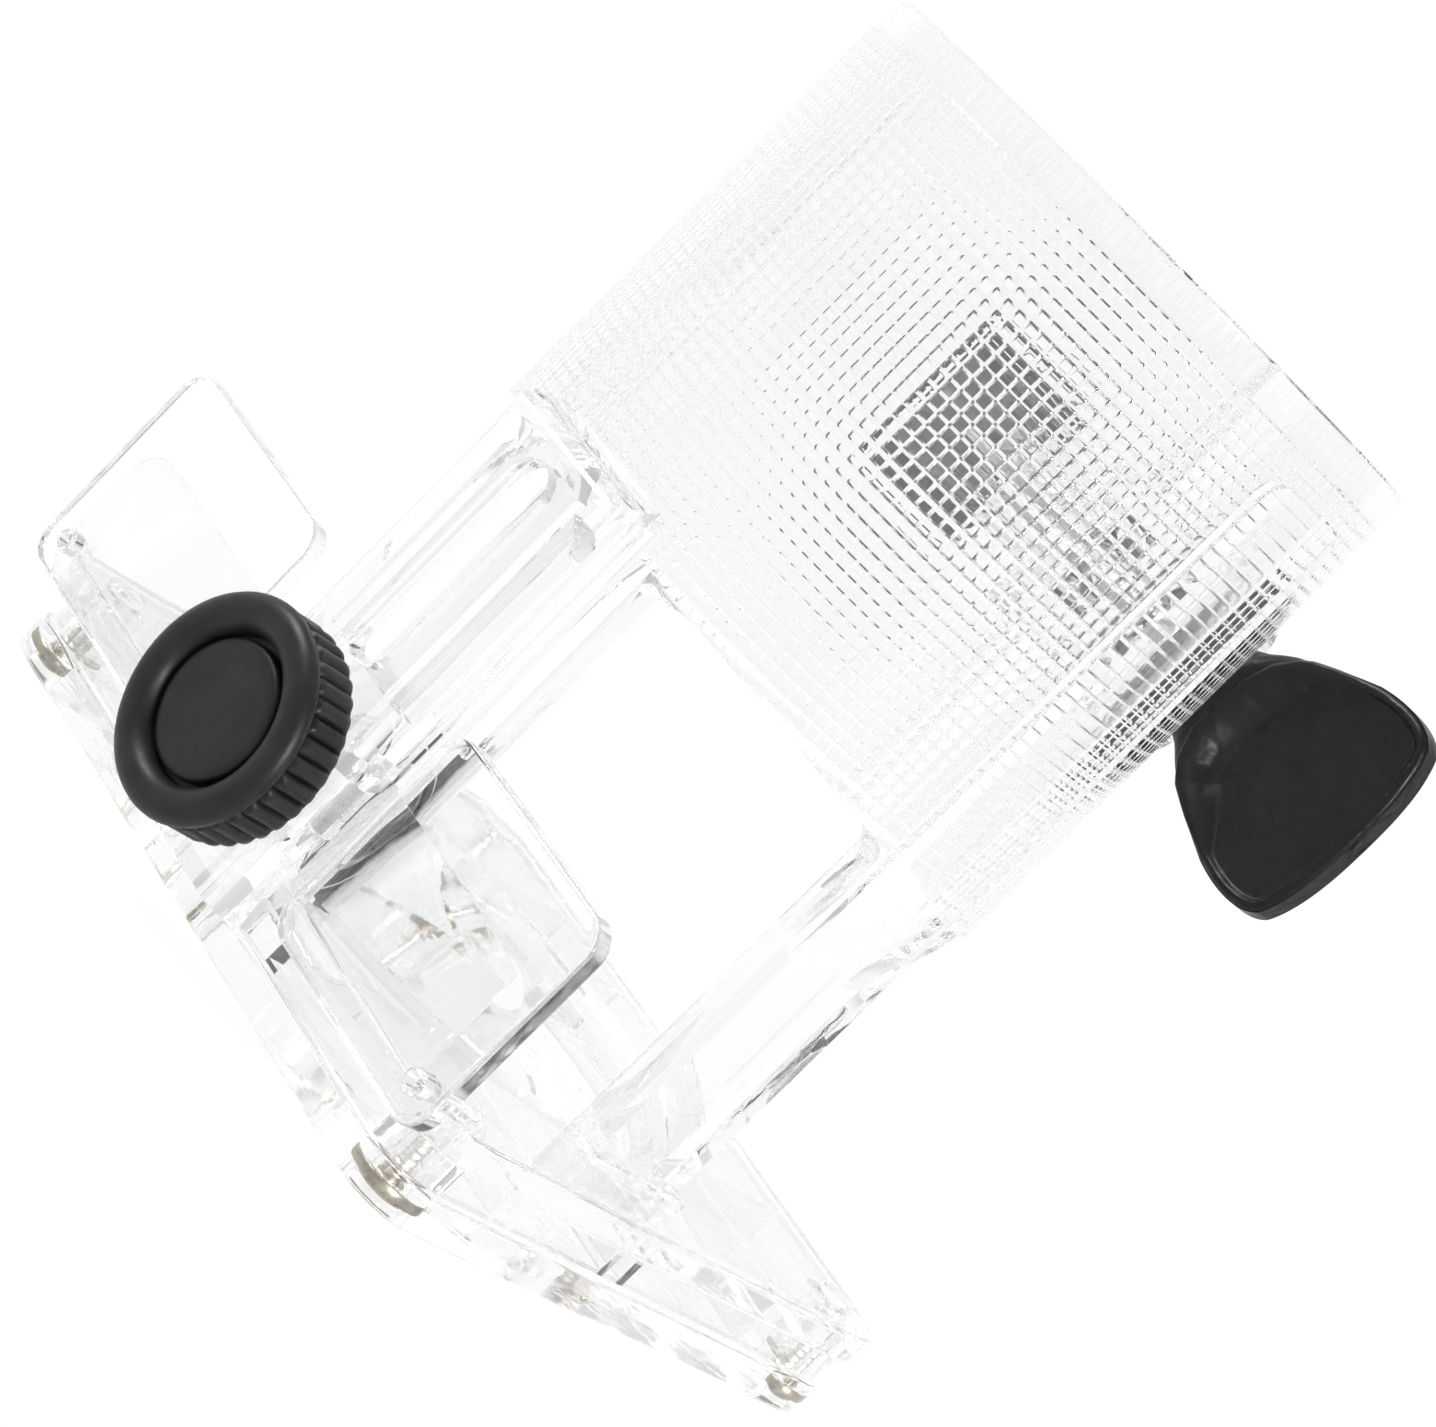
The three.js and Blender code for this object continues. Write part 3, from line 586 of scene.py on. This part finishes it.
def tower_ribs():
    """The two ribs in the channel, the boss behind the knob and the fillet from the roof to the collar."""
    ribs = [box(x, x + RIB, TOWER_Y + 1.5, -35, 29, TOWER_Z1 - 4) for x in (-6.2, 5.0)]
    boss = rod(8.8, -40.8, -35, THUMB_AT, along_y, 72, 0.25)
    arc = [math.radians(262 - 82 * k / 9) for k in range(10)]
    hollow = [(FILLET_U + FILLET_R * math.cos(t), FILLET_Z + FILLET_R * math.sin(t)) for t in arc]
    ring = turned([(34.0, 58.5), (37.3, 58.5)] + hollow + [(34.0, FILLET_Z)], (0, 0), z_up, 256, True)
    fillet = keep(ring, box(-9.6, 9.6, -45, -20, 50, 70))
    return ribs + [boss, fillet]


def foot_plan(d, r):
    """The foot's outline moved in by d, with corners of radius r."""
    return round_rect(-FOOT_X + d, FOOT_X - d, FOOT_Y0 + d, FOOT_Y1 - d, r, 14)


RIB_END_R = 31.5                 # where the ribs run into the ring round the opening


def foot():
    """The flanged foot, hollow below its lip, with a ring, ribs and screw posts inside."""
    wall = slab(foot_plan(0.7, 6.3), MID_Z0, LIP_Z0 + 0.1, 0)
    wall = cut(wall, slab(foot_plan(3.0, 4.0), MID_Z0 - 1, LIP_Z0 + 0.05, 0))
    lip = slab(foot_plan(-0.5, 7.5), LIP_Z0, LIP_Z1, 0.6)
    parts = [lip, rod(32.9, MID_Z0, LIP_Z0 + 0.2, (0, 0), z_up, 192)]
    far = FOOT_X - 2.8
    for side in (-1, 1):
        for y in (-20.6, -2.1, 1.3, 22.4):
            reach = math.sqrt(RIB_END_R ** 2 - y * y)
            a, b = (reach, far) if side > 0 else (-far, -reach)
            parts.append(box(a, b, y, y + RIB, MID_Z0, LIP_Z0 + 0.1))
        for x in (12, 24):
            c, reach = side * x - RIB / 2, math.sqrt(RIB_END_R ** 2 - x * x)
            parts.append(box(c, c + RIB, reach, FOOT_Y1 - 2.8, MID_Z0, LIP_Z0 + 0.1))
    for _, x, y in SCREWS:
        parts.append(rod(3.6, MID_Z0, LIP_Z0 + 0.2, (x, y), z_up, 32))
        parts.append(turned([(0, LIP_Z1 - 0.2), (2.3, LIP_Z1 - 0.2), (2.3, LIP_Z1 + 0.35),
                             (2.0, LIP_Z1 + 0.65), (0, LIP_Z1 + 0.7)], (x, y), z_up, 32))
    return join(wall, *parts)


EAR_X, EAR_Z = 10.7, 10.6        # how far out the ears reach, and half their height
BOSS_X, NECK_X, BLOCK_X = -24.0, -23.8, -27.6   # ends of the boss and its neck, and the end block's face


def ears():
    """The two ears beside the split, and the boss, rib and plate that carry the screw to the end block."""
    lug = round_rect(30, 48.6, CLAMP_Z - EAR_Z, CLAMP_Z + EAR_Z, 4.5, 10)
    return [slab(lug, SPLIT_X, EAR_X, 0.5, along_x), slab(lug, -EAR_X, -SPLIT_X, 0.5, along_x),
            rod(6.4, BOSS_X, -SPLIT_X, CLAMP_AT, along_x, 96, 0.4),
            rod(3.6, BLOCK_X, NECK_X, CLAMP_AT, along_x, 96),
            box(BOSS_X, -SPLIT_X, 18, CLAMP_Y, CLAMP_Z - 0.6, CLAMP_Z + 0.6, 0.1),
            box(BLOCK_X, -27.0, 22, CLAMP_Y, CLAMP_Z - 6.4, CLAMP_Z + 6.4, 0.1)]


def backers():
    """The thin walls behind the shields, tapered to their edges, and the studs the shields hang on."""
    made = []
    for a, b in ((9, 43.4), (-43.4, -9)):
        plate = round_rect(a, b, LIP_Z0, 25.5, 4.2)
        made.append(loft([[along_y(u, v, y) for u, v in inset(plate, d)]
                          for d, y in ((0.0, -37.1), (0.05, -37.0), (3.6, -36.3))]))
    for x in (-STUD_X, STUD_X):
        made.append(rod(1.1, -40.3, -36.1, (x, STUD_Z), along_y, 24, 0.25))
    return made


def housing():
    """The whole clear moulding, closed and of one skin: parts are joined first and openings cut last."""
    tube = [(BORE_R - 1, LIP_Z0), (LEG_R, LIP_Z0), (LEG_R, 59), (BORE_R - 1, 59)]
    leg_tube = turned(tube, (0, 0), z_up, 256, True)
    leg_tube = cut(leg_tube, front_window(WEB_X, 60), front_window(-60, -WEB_X), rear_window())
    low = join(leg_tube, foot(), tower())
    low = cut(low, *tower_cuts())
    low = join(low, *tower_ribs(), *backers())
    under = [(-60, -5), (60, -5), (60, edge_z(60)), (-60, edge_z(-60))]
    grip = cut(grip_tube(), slab(under, -60, 60, 0, along_x))
    whole = join(low, *pads(), *ears())
    whole = join(grip, whole)
    holes = [rod(SOLE_HOLE_R, MID_Z0 - 1, 10.4, (x, y), z_up, 32) for _, x, y in SCREWS]
    pocket = slab(hexagon(10.6, *THUMB_AT), -37.6, -28, 0, along_y)
    chamfer = [(BORE_R - 1, TOP_Z - 0.9), (BORE_R + 0.6, TOP_Z + 0.2), (BORE_R - 1, TOP_Z + 0.2)]
    return cut(whole,
               rod(BORE_R, LIP_Z1, TOP_Z + 5, (0, 0), z_up, 256),
               rod(OPENING_R, -1, LIP_Z1 + 1, (0, 0), z_up, 192),
               turned(chamfer, (0, 0), z_up, 256, True),
               box(-SPLIT_X, SPLIT_X, 20, 60, 38, TOP_Z + 5),
               rod(CLAMP_HOLE_R, -60, 60, CLAMP_AT, along_x, 40),
               rod(THUMB_HOLE_R, -50, -30, THUMB_AT, along_y, 40),
               pocket, *parting_lines(), *holes)


put(housing(), "housing_clear", clear, "base", ["housing"], 20.0, shadow=False)

# ------------------------------------------------------------------ sole plate and its screws
sole = slab(foot_plan(0, 7.0), 0, SOLE_T, 0.4)
sole = cut(sole, turned([(CUTTER_R + 0.6, -0.5), (CUTTER_R, 0.6), (CUTTER_R, SOLE_T - 0.4),
                         (CUTTER_R + 0.4, SOLE_T + 0.2), (0, SOLE_T + 0.2), (0, -0.5)], (0, 0), z_up, 128))
for _, x, y in SCREWS:
    sole = cut(sole, rod(SEAT_R, -1, SEAT_Z, (x, y), z_up, 40),
               rod(SOLE_HOLE_R, -1, SOLE_T + 1, (x, y), z_up, 32))
put(sole, "sole_clear", clear_sole, "base", ["sole_plate"], 30.0, shadow=False)


def sole_screw(x, y):
    """A domed head with a cross recess, driven up from below, and a short threaded shank. The head is a
    little larger than its seat, so metal meets plastic with no film of air between them."""
    r = SEAT_R + 0.1
    head = turned([(0, 0.5), (1.9, 0.5), (2.5, 0.62), (2.95, 0.85), (r, 1.25), (r, 2.05), (3.1, 2.2),
                   (1.1, 2.2), (1.1, 2.4), (0, 2.4)], (x, y), z_up, 48)
    shank = threaded(1.15, 0.12, 0.8, 2.0, 6.8, (x, y), z_up, 24, 8)
    tip = turned([(0, 6.7), (0.95, 6.7), (0.8, 7.2), (0.4, 7.5), (0, 7.5)], (x, y), z_up, 24)
    cross = [slab(round_rect(x - a, x + a, y - b, y + b, 0.12, 3), 0, 1.3, 0)
             for a, b in ((1.5, 0.3), (0.3, 1.5))]
    return cut(join(head, shank, tip), *cross)


for where, x, y in SCREWS:
    put(sole_screw(x, y), f"brass_screw_{where}", brass, "base", [f"sole_screw_{where}"],
        35.0)

# ------------------------------------------------------------------ chip shields
for side, sign in (("left", -1), ("right", 1)):
    lo, hi = span(f"chip_shield_{side}")
    plate = slab(round_rect(lo[0], hi[0], lo[2], hi[2], 3.2, 12), lo[1], hi[1], 0.45, along_y)
    hole = rod(1.4, lo[1] - 1, hi[1] + 1, (sign * STUD_X, STUD_Z), along_y, 32)
    put(cut(plate, hole), f"shield_{side}", clear_shield, "base", [f"chip_shield_{side}"],
        30.0, shadow=False)

# ------------------------------------------------------------------ knurled guide screw
RIDGES, PER_RIDGE = 36, 10       # and the points round each ridge
RIDGE_ROOT, RIDGE_RISE = 10.95, 0.8


def knob():
    """Rounded ridges round a band, behind a smooth rolled front ring with a dished middle. Heights run
    forward from the knob's back face."""
    plain = [(0.0, 0.0), (6.0, 0.0), (10.2, 0.0), (10.75, 0.15), (11.05, 0.5)]
    band = [0.9, 1.6, 2.6, 3.6, 4.5, 5.0, 5.4, 5.7]
    front = [(11.5, 6.0), (11.78, 6.25), (11.9, 6.6), (11.85, 7.0), (11.6, 7.5), (11.15, 7.9),
             (10.6, 8.13), (10.0, 8.2), (9.4, 8.13), (8.85, 7.9), (8.4, 7.5), (8.1, 7.0), (7.95, 6.5),
             (7.9, 5.9), (7.9, 5.4), (4.0, 5.4), (0.0, 5.4)]
    n = RIDGES * PER_RIDGE
    rings = []

    def ring(radii, h):
        pts = []
        for k, r in enumerate(radii):
            t = 2 * math.pi * k / n
            r = max(r, 1e-6)
            pts.append((r * math.cos(t), THUMB_BACK - h, THUMB_Z + r * math.sin(t)))
        rings.append(pts)

    for r, h in plain:
        ring([r] * n, h)
    for h in band:
        s = min(1.0, (h - 0.5) / 0.5, max(0.0, (5.95 - h) / 0.5))   # the ridges fade in and out
        ring([RIDGE_ROOT + RIDGE_RISE * s * abs(math.sin(math.pi * k / PER_RIDGE)) ** 0.4
              for k in range(n)], h)
    for r, h in front:
        ring([r] * n, h)
    return cut(loft(rings), rod(THUMB_HOLE_R, THUMB_BACK - 4.4, THUMB_BACK + 1, THUMB_AT, along_y, 40))


put(knob(), "knob_knurled", black, "thumb", ["thumb_knob"], 50.0)

cap_lo, cap_hi = span("thumb_knob_cap")
back = cap_hi[1]
cap = turned([(0, back), (7.25, back), (7.35, back - 0.15), (7.35, back - 0.75), (7.25, back - 1.02),
              (7.0, back - 1.2), (6.6, back - 1.3), (5.5, cap_lo[1]), (0, cap_lo[1] + 0.06)],
             THUMB_AT, along_y, 96)
put(cap, "knob_cap", black_cap, "thumb", ["thumb_knob_cap"], 40.0)

thumb_lo, thumb_hi = span("thumb_screw")
put(threaded(2.95, 0.45, 1.0, thumb_lo[1], thumb_hi[1], THUMB_AT, along_y, 36),
    "guide_screw", steel, "thumb", ["thumb_screw"], 60.0)


def washer(outer, inner, a, b, centre, to):
    """A flat ring with its edges chamfered."""
    e = 0.12
    return turned([(inner, a + e), (inner + e, a), (outer - e, a), (outer, a + e), (outer, b - e),
                   (outer - e, b), (inner + e, b), (inner, b - e)], centre, to, 64, True)


def nut(across, hole, a, b, centre, to):
    """A hexagon with its corners turned off at both faces."""
    blank = slab(hexagon(across, *centre), a, b, 0, to)
    r, flat = across / math.sqrt(3), across / 2
    drop_off = (r - flat) * 0.55
    rounding = turned([(flat, a), (r, a + drop_off), (r, b - drop_off), (flat, b)], centre, to, 64)
    return cut(keep(blank, rounding), rod(hole, a - 1, b + 1, centre, to, 40))


wash_lo, wash_hi = span("thumb_washer")
put(washer(6.5, THUMB_HOLE_R, wash_lo[1], wash_hi[1], THUMB_AT, along_y), "guide_washer", steel,
    "thumb_carrier", ["thumb_washer"], 30.0)
nut_lo, nut_hi = span("thumb_nut")
put(nut(9.9, THUMB_HOLE_R, nut_lo[1], nut_hi[1], THUMB_AT, along_y), "guide_nut", steel, "base",
    ["thumb_nut"], 30.0)

# ------------------------------------------------------------------ paddle clamp screw
# out along the paddle: (x, half its thickness), then (x, half its width) nearly to the widest part
STEM = [(12.1, 4.9), (12.6, 5.3), (14.0, 5.2), (15.6, 4.0),
        (17.2, 3.1), (21.0, 2.3), (25.0, 1.8), (41.0, 1.8)]
HALF = [(12.1, 4.9), (13.3, 5.5), (14.6, 6.35), (19.6, 9.0), (24.2, 11.1), (29.0, 13.0)]
# the scoop's edge nearest the stem, as (x, z)
LEFT_ARC = [(21.9, 9.8), (20.8, 8.8), (19.1, 6.4), (18.1, 2.9),
            (17.8, -1.0), (18.0, -4.3), (19.1, -7.4), (21.0, -9.6)]
SCOOP_X = 25.0                   # past here the scoop follows the pad's own outline
CREST = 1.2                      # how far the pad's edge stands above the stem it grows from
EDGE_EASE = 0.7                  # radius of the pad's outer edge
BEAD = 0.9                       # width of the raised bead just inside the pad's edge
FLOOR_T = 1.0                    # half the pad's thickness in the scoop
ALONG, ACROSS = 150, 110         # points along the paddle and across it
FLAT_X, FLAT_RUN = 15.5, 8.0     # where the round stem starts to flatten, and over what length
TIP_X, TIP_RUN = 24, 6.0         # where the crest starts to die out towards the tip
STEEP_REACH, TIP_REACH = 3.7, 0.7   # width of the scoop's slope by the stem and at the tip
HOLE_END = 18.4                  # how far the shank's hole goes in


def smooth(t):
    """Eases from 0 to 1 as t does."""
    t = np.clip(t, 0, 1)
    return t * t * (3 - 2 * t)


def distance_inside(points, loop):
    """How far each point lies inside a closed outline; negative outside it."""
    a, b = loop, np.roll(loop, -1, 0)
    run = b - a
    size = np.maximum((run ** 2).sum(1), 1e-12)
    found = []
    for p in points:
        f = np.clip(((p - a) * run).sum(1) / size, 0, 1)
        d = np.sqrt(((a + run * f[:, None] - p) ** 2).sum(1).min())
        spans = (a[:, 1] > p[1]) != (b[:, 1] > p[1])
        rise = np.where(spans, b[:, 1] - a[:, 1], 1.0)
        crossings = spans & (p[0] < a[:, 0] + (p[1] - a[:, 1]) * run[:, 0] / rise)
        found.append(d if crossings.sum() % 2 else -d)
    return np.array(found)


def paddle():
    """A round stem that flattens into an egg-shaped pad, scooped out inside a raised bead on both faces."""
    edge = list(HALF)
    edge += cubic(HALF[-1], (32, 13.75), (36.5, 14.05), (38.4, 12), 18)
    edge += cubic((38.4, 12), (40.2, 9), (PADDLE_X1, 4), (PADDLE_X1, 0.02), 30)
    edge = np.array(edge)
    edge[:, 1] *= (paddle_hi[2] - paddle_lo[2]) / 2 / edge[:, 1].max()
    run = np.concatenate([[0], np.cumsum(np.linalg.norm(np.diff(edge, axis=0), axis=1))])
    at = np.linspace(0, run[-1], ALONG)
    stations = np.stack([np.interp(at, run, edge[:, 0]), np.interp(at, run, edge[:, 1])], 1)
    plate = [(x, h) for x, h in edge if x > SCOOP_X]
    pad = np.array(plate + [(x, -h) for x, h in reversed(plate)] + list(reversed(LEFT_ARC)))
    across = np.cos(np.linspace(math.pi, 0, ACROSS))
    stem_x, stem_t = [x for x, _ in STEM], [t for _, t in STEM]
    rings = []
    for x, half in stations:
        z = half * across
        inside = distance_inside(np.stack([np.full(len(z), x), z], 1), pad)
        flat = float(smooth((x - FLAT_X) / FLAT_RUN))
        power = 2 + 10 * flat
        thick = np.interp(x, stem_x, stem_t)
        t = thick * np.maximum(1 - np.abs(across) ** power, 0) ** (1 / power)
        t = np.maximum(t, (thick - EDGE_EASE) * flat)
        tip = float(smooth((x - TIP_X) / TIP_RUN))
        reach = STEEP_REACH - (STEEP_REACH - TIP_REACH) * tip
        floor_t = FLOOR_T + 0.1 * tip
        t = t + CREST * (1 - tip) * smooth((inside + 0.6) / 0.9)
        t = t + (np.minimum(floor_t, t) - t) * smooth((inside - BEAD) / reach)
        near = np.clip(EDGE_EASE - np.maximum(inside, 0), 0, EDGE_EASE)
        rounding = EDGE_EASE - np.sqrt(np.maximum(EDGE_EASE ** 2 - near ** 2, 0))
        t = t - tip * rounding * (np.abs(across) < 0.999)   # the rim's own points stay where they are
        front = [(x, CLAMP_Y - d, CLAMP_Z + v) for v, d in zip(z, t)]
        back = [(x, CLAMP_Y + d, CLAMP_Z + v) for v, d in zip(z, t)]
        rings.append(front + back[::-1])
    return cut(loft(rings), rod(CLAMP_HOLE_R, HUB_X - 1, HOLE_END, CLAMP_AT, along_x, 40))


put(paddle(), "paddle", black_pad, "clamp", ["clamp_paddle"], 50.0)

shank_lo, shank_hi = span("clamp_screw")
put(threaded(2.45, 0.4, 0.8, shank_lo[0], shank_hi[0], CLAMP_AT, along_x, 32),
    "clamp_shank", steel, "clamp", ["clamp_screw"], 60.0)
ring_lo, ring_hi = span("clamp_washer")
put(washer(5.4, CLAMP_HOLE_R, ring_lo[0], ring_hi[0], CLAMP_AT, along_x), "clamp_ring", steel,
    "clamp_carrier", ["clamp_washer"], 30.0)

block_plan = round_rect(block_lo[1], block_hi[1], block_lo[2], block_hi[2], 1.0, 6)
block = slab(block_plan, block_lo[0], block_hi[0], 0.4, along_x)
block = cut(block, rod(CLAMP_HOLE_R, block_lo[0] + 1.2, block_hi[0] + 1, CLAMP_AT, along_x, 40),
            slab(hexagon(8.7, *CLAMP_AT), block_hi[0] - 4.6, block_hi[0] + 1, 0, along_x))
put(block, "end_block", black, "base", ["clamp_block"], 35.0)
hex_lo, hex_hi = span("clamp_nut")
put(nut(8.0, CLAMP_HOLE_R, hex_lo[0], hex_hi[0], CLAMP_AT, along_x), "clamp_hex", steel, "base",
    ["clamp_nut"], 30.0)

# ------------------------------------------------------------------ camera
DISTANCE, AZIMUTH, HEIGHT = 398.72, math.radians(40.218), 102.853   # from the collar's axis, round it, above
PITCH, YAW, ROLL = math.radians(8.038), math.radians(-0.304), math.radians(45.132)
SENSOR, LENS = 36.0, 99.25
ahead = Matrix.Rotation(YAW, 3, "Z") @ Vector((-math.sin(AZIMUTH), math.cos(AZIMUTH), 0))
right = Vector((ahead.y, -ahead.x, 0))
look = math.cos(PITCH) * ahead - math.sin(PITCH) * Vector((0, 0, 1))
up = math.sin(PITCH) * ahead + math.cos(PITCH) * Vector((0, 0, 1))
cam_right = math.cos(ROLL) * right + math.sin(ROLL) * up
cam_up = -math.sin(ROLL) * right + math.cos(ROLL) * up
cam = bpy.data.cameras.new("camera")
cam.sensor_width, cam.lens = SENSOR, LENS
cam.clip_start, cam.clip_end = 0.01, 100.0
cam_ob = bpy.data.objects.new("camera", cam)
scene.collection.objects.link(cam_ob)
turn = Matrix((cam_right, cam_up, -look)).transposed().to_4x4()
place = Vector((DISTANCE * math.sin(AZIMUTH), -DISTANCE * math.cos(AZIMUTH) + AXIS_Y, HEIGHT)) * MM
cam_ob.matrix_world = Matrix.Translation(place) @ turn
scene.camera = cam_ob

# ------------------------------------------------------------------ floor, lights, world
FLOOR_HALF, FLOOR_DROP = 5.5, 0.0004   # half the floor's side, and its gap below the sole, in metres
bm = bmesh.new()
bmesh.ops.create_grid(bm, x_segments=8, y_segments=8, size=FLOOR_HALF)
floor_mesh = bpy.data.meshes.new("floor")
bm.to_mesh(floor_mesh)
bm.free()
floor = bpy.data.objects.new("floor", floor_mesh)
floor.location.z = -FLOOR_DROP
scene.collection.objects.link(floor)
paper = Look("floor_paper")      # it glows a little, so the floor stays white and its shadows stay faint
paper.set(Roughness=0.9, Specular_IOR_Level=0.1, Emission_Color=(1, 1, 1, 1), Emission_Strength=0.86)
paper.colours(paper.noise(3, 2), [(0.3, (0.11, 0.11, 0.11)), (0.7, (0.13, 0.13, 0.13))])
floor_mesh.materials.append(paper.material)

# a soft tent: its greys follow the direction round from behind the camera to ahead of it, with a darker
# ceiling overhead and white near the floor
TENT = ((0.0, 0.50), (0.45, 0.70), (0.74, 0.95), (0.92, 1.0))   # (way from behind to ahead, grey)
CEILING, NEAR_FLOOR = 0.56, 1.0
CEILING_Z, FLOOR_Z = (0.45, 0.85), (0.06, 0.30)   # the directions' heights over which each blends in
TENT_STRENGTH = 1.02

world = bpy.data.worlds.new("studio")
scene.world = world
world.use_nodes = True
wt = world.node_tree
bg = wt.nodes["Background"]
coord = wt.nodes.new("ShaderNodeTexCoord")
dot = wt.nodes.new("ShaderNodeVectorMath")
dot.operation = "DOT_PRODUCT"
dot.inputs[1].default_value = ahead
wt.links.new(coord.outputs["Generated"], dot.inputs[0])
fade = wt.nodes.new("ShaderNodeMapRange")
fade.inputs["From Min"].default_value = -1.0
wt.links.new(dot.outputs["Value"], fade.inputs["Value"])
tent = wt.nodes.new("ShaderNodeValToRGB")
tent.color_ramp.interpolation = "EASE"
for i, (at, grey) in enumerate(TENT):
    stop = tent.color_ramp.elements[i] if i < 2 else tent.color_ramp.elements.new(at)
    stop.position, stop.color = at, (grey, grey, grey, 1)
wt.links.new(fade.outputs["Result"], tent.inputs["Fac"])
high = wt.nodes.new("ShaderNodeSeparateXYZ")
wt.links.new(coord.outputs["Generated"], high.inputs[0])


def by_height(low, top, below, above):
    """Blends from one colour or grey to another as the direction climbs from low to top."""
    climb = wt.nodes.new("ShaderNodeMapRange")
    climb.interpolation_type = "SMOOTHSTEP"
    climb.inputs["From Min"].default_value, climb.inputs["From Max"].default_value = low, top
    wt.links.new(high.outputs["Z"], climb.inputs["Value"])
    mix = wt.nodes.new("ShaderNodeMix")
    mix.data_type = "RGBA"
    wt.links.new(climb.outputs["Result"], mix.inputs["Factor"])
    for name, colour in (("A", below), ("B", above)):
        socket = next(i for i in mix.inputs if i.name == name and i.type == "RGBA")
        if isinstance(colour, float):
            socket.default_value = (colour, colour, colour, 1)
        else:
            wt.links.new(colour, socket)
    return next(o for o in mix.outputs if o.type == "RGBA")


upper = by_height(*CEILING_Z, tent.outputs["Color"], CEILING)
wt.links.new(by_height(*FLOOR_Z, NEAR_FLOOR, upper), bg.inputs["Color"])
bg.inputs["Strength"].default_value = TENT_STRENGTH


def sun(name, strength, angle, towards):
    """A broad sun, angle degrees across, shining along the direction given."""
    lamp = bpy.data.lights.new(name, "SUN")
    lamp.energy, lamp.angle = strength, math.radians(angle)
    ob = bpy.data.objects.new(name, lamp)
    ob.rotation_mode = "QUATERNION"
    ob.rotation_quaternion = Vector(towards).to_track_quat("-Z", "Y")
    scene.collection.objects.link(ob)


sun("key", 2.4, 22, (0.75, 0.55, -0.9))
sun("side", 2.8, 16, (-0.95, 0.25, -0.35))

CLEAR_BOUNCES = 48               # through the clear walls; light trapped in them counts as glossy
scene.view_settings.view_transform = "Standard"
scene.view_settings.look = "None"
scene.cycles.max_bounces = CLEAR_BOUNCES
scene.cycles.transmission_bounces = CLEAR_BOUNCES
scene.cycles.glossy_bounces = CLEAR_BOUNCES
scene.cycles.diffuse_bounces = 3
scene.cycles.sample_clamp_indirect = 6.0
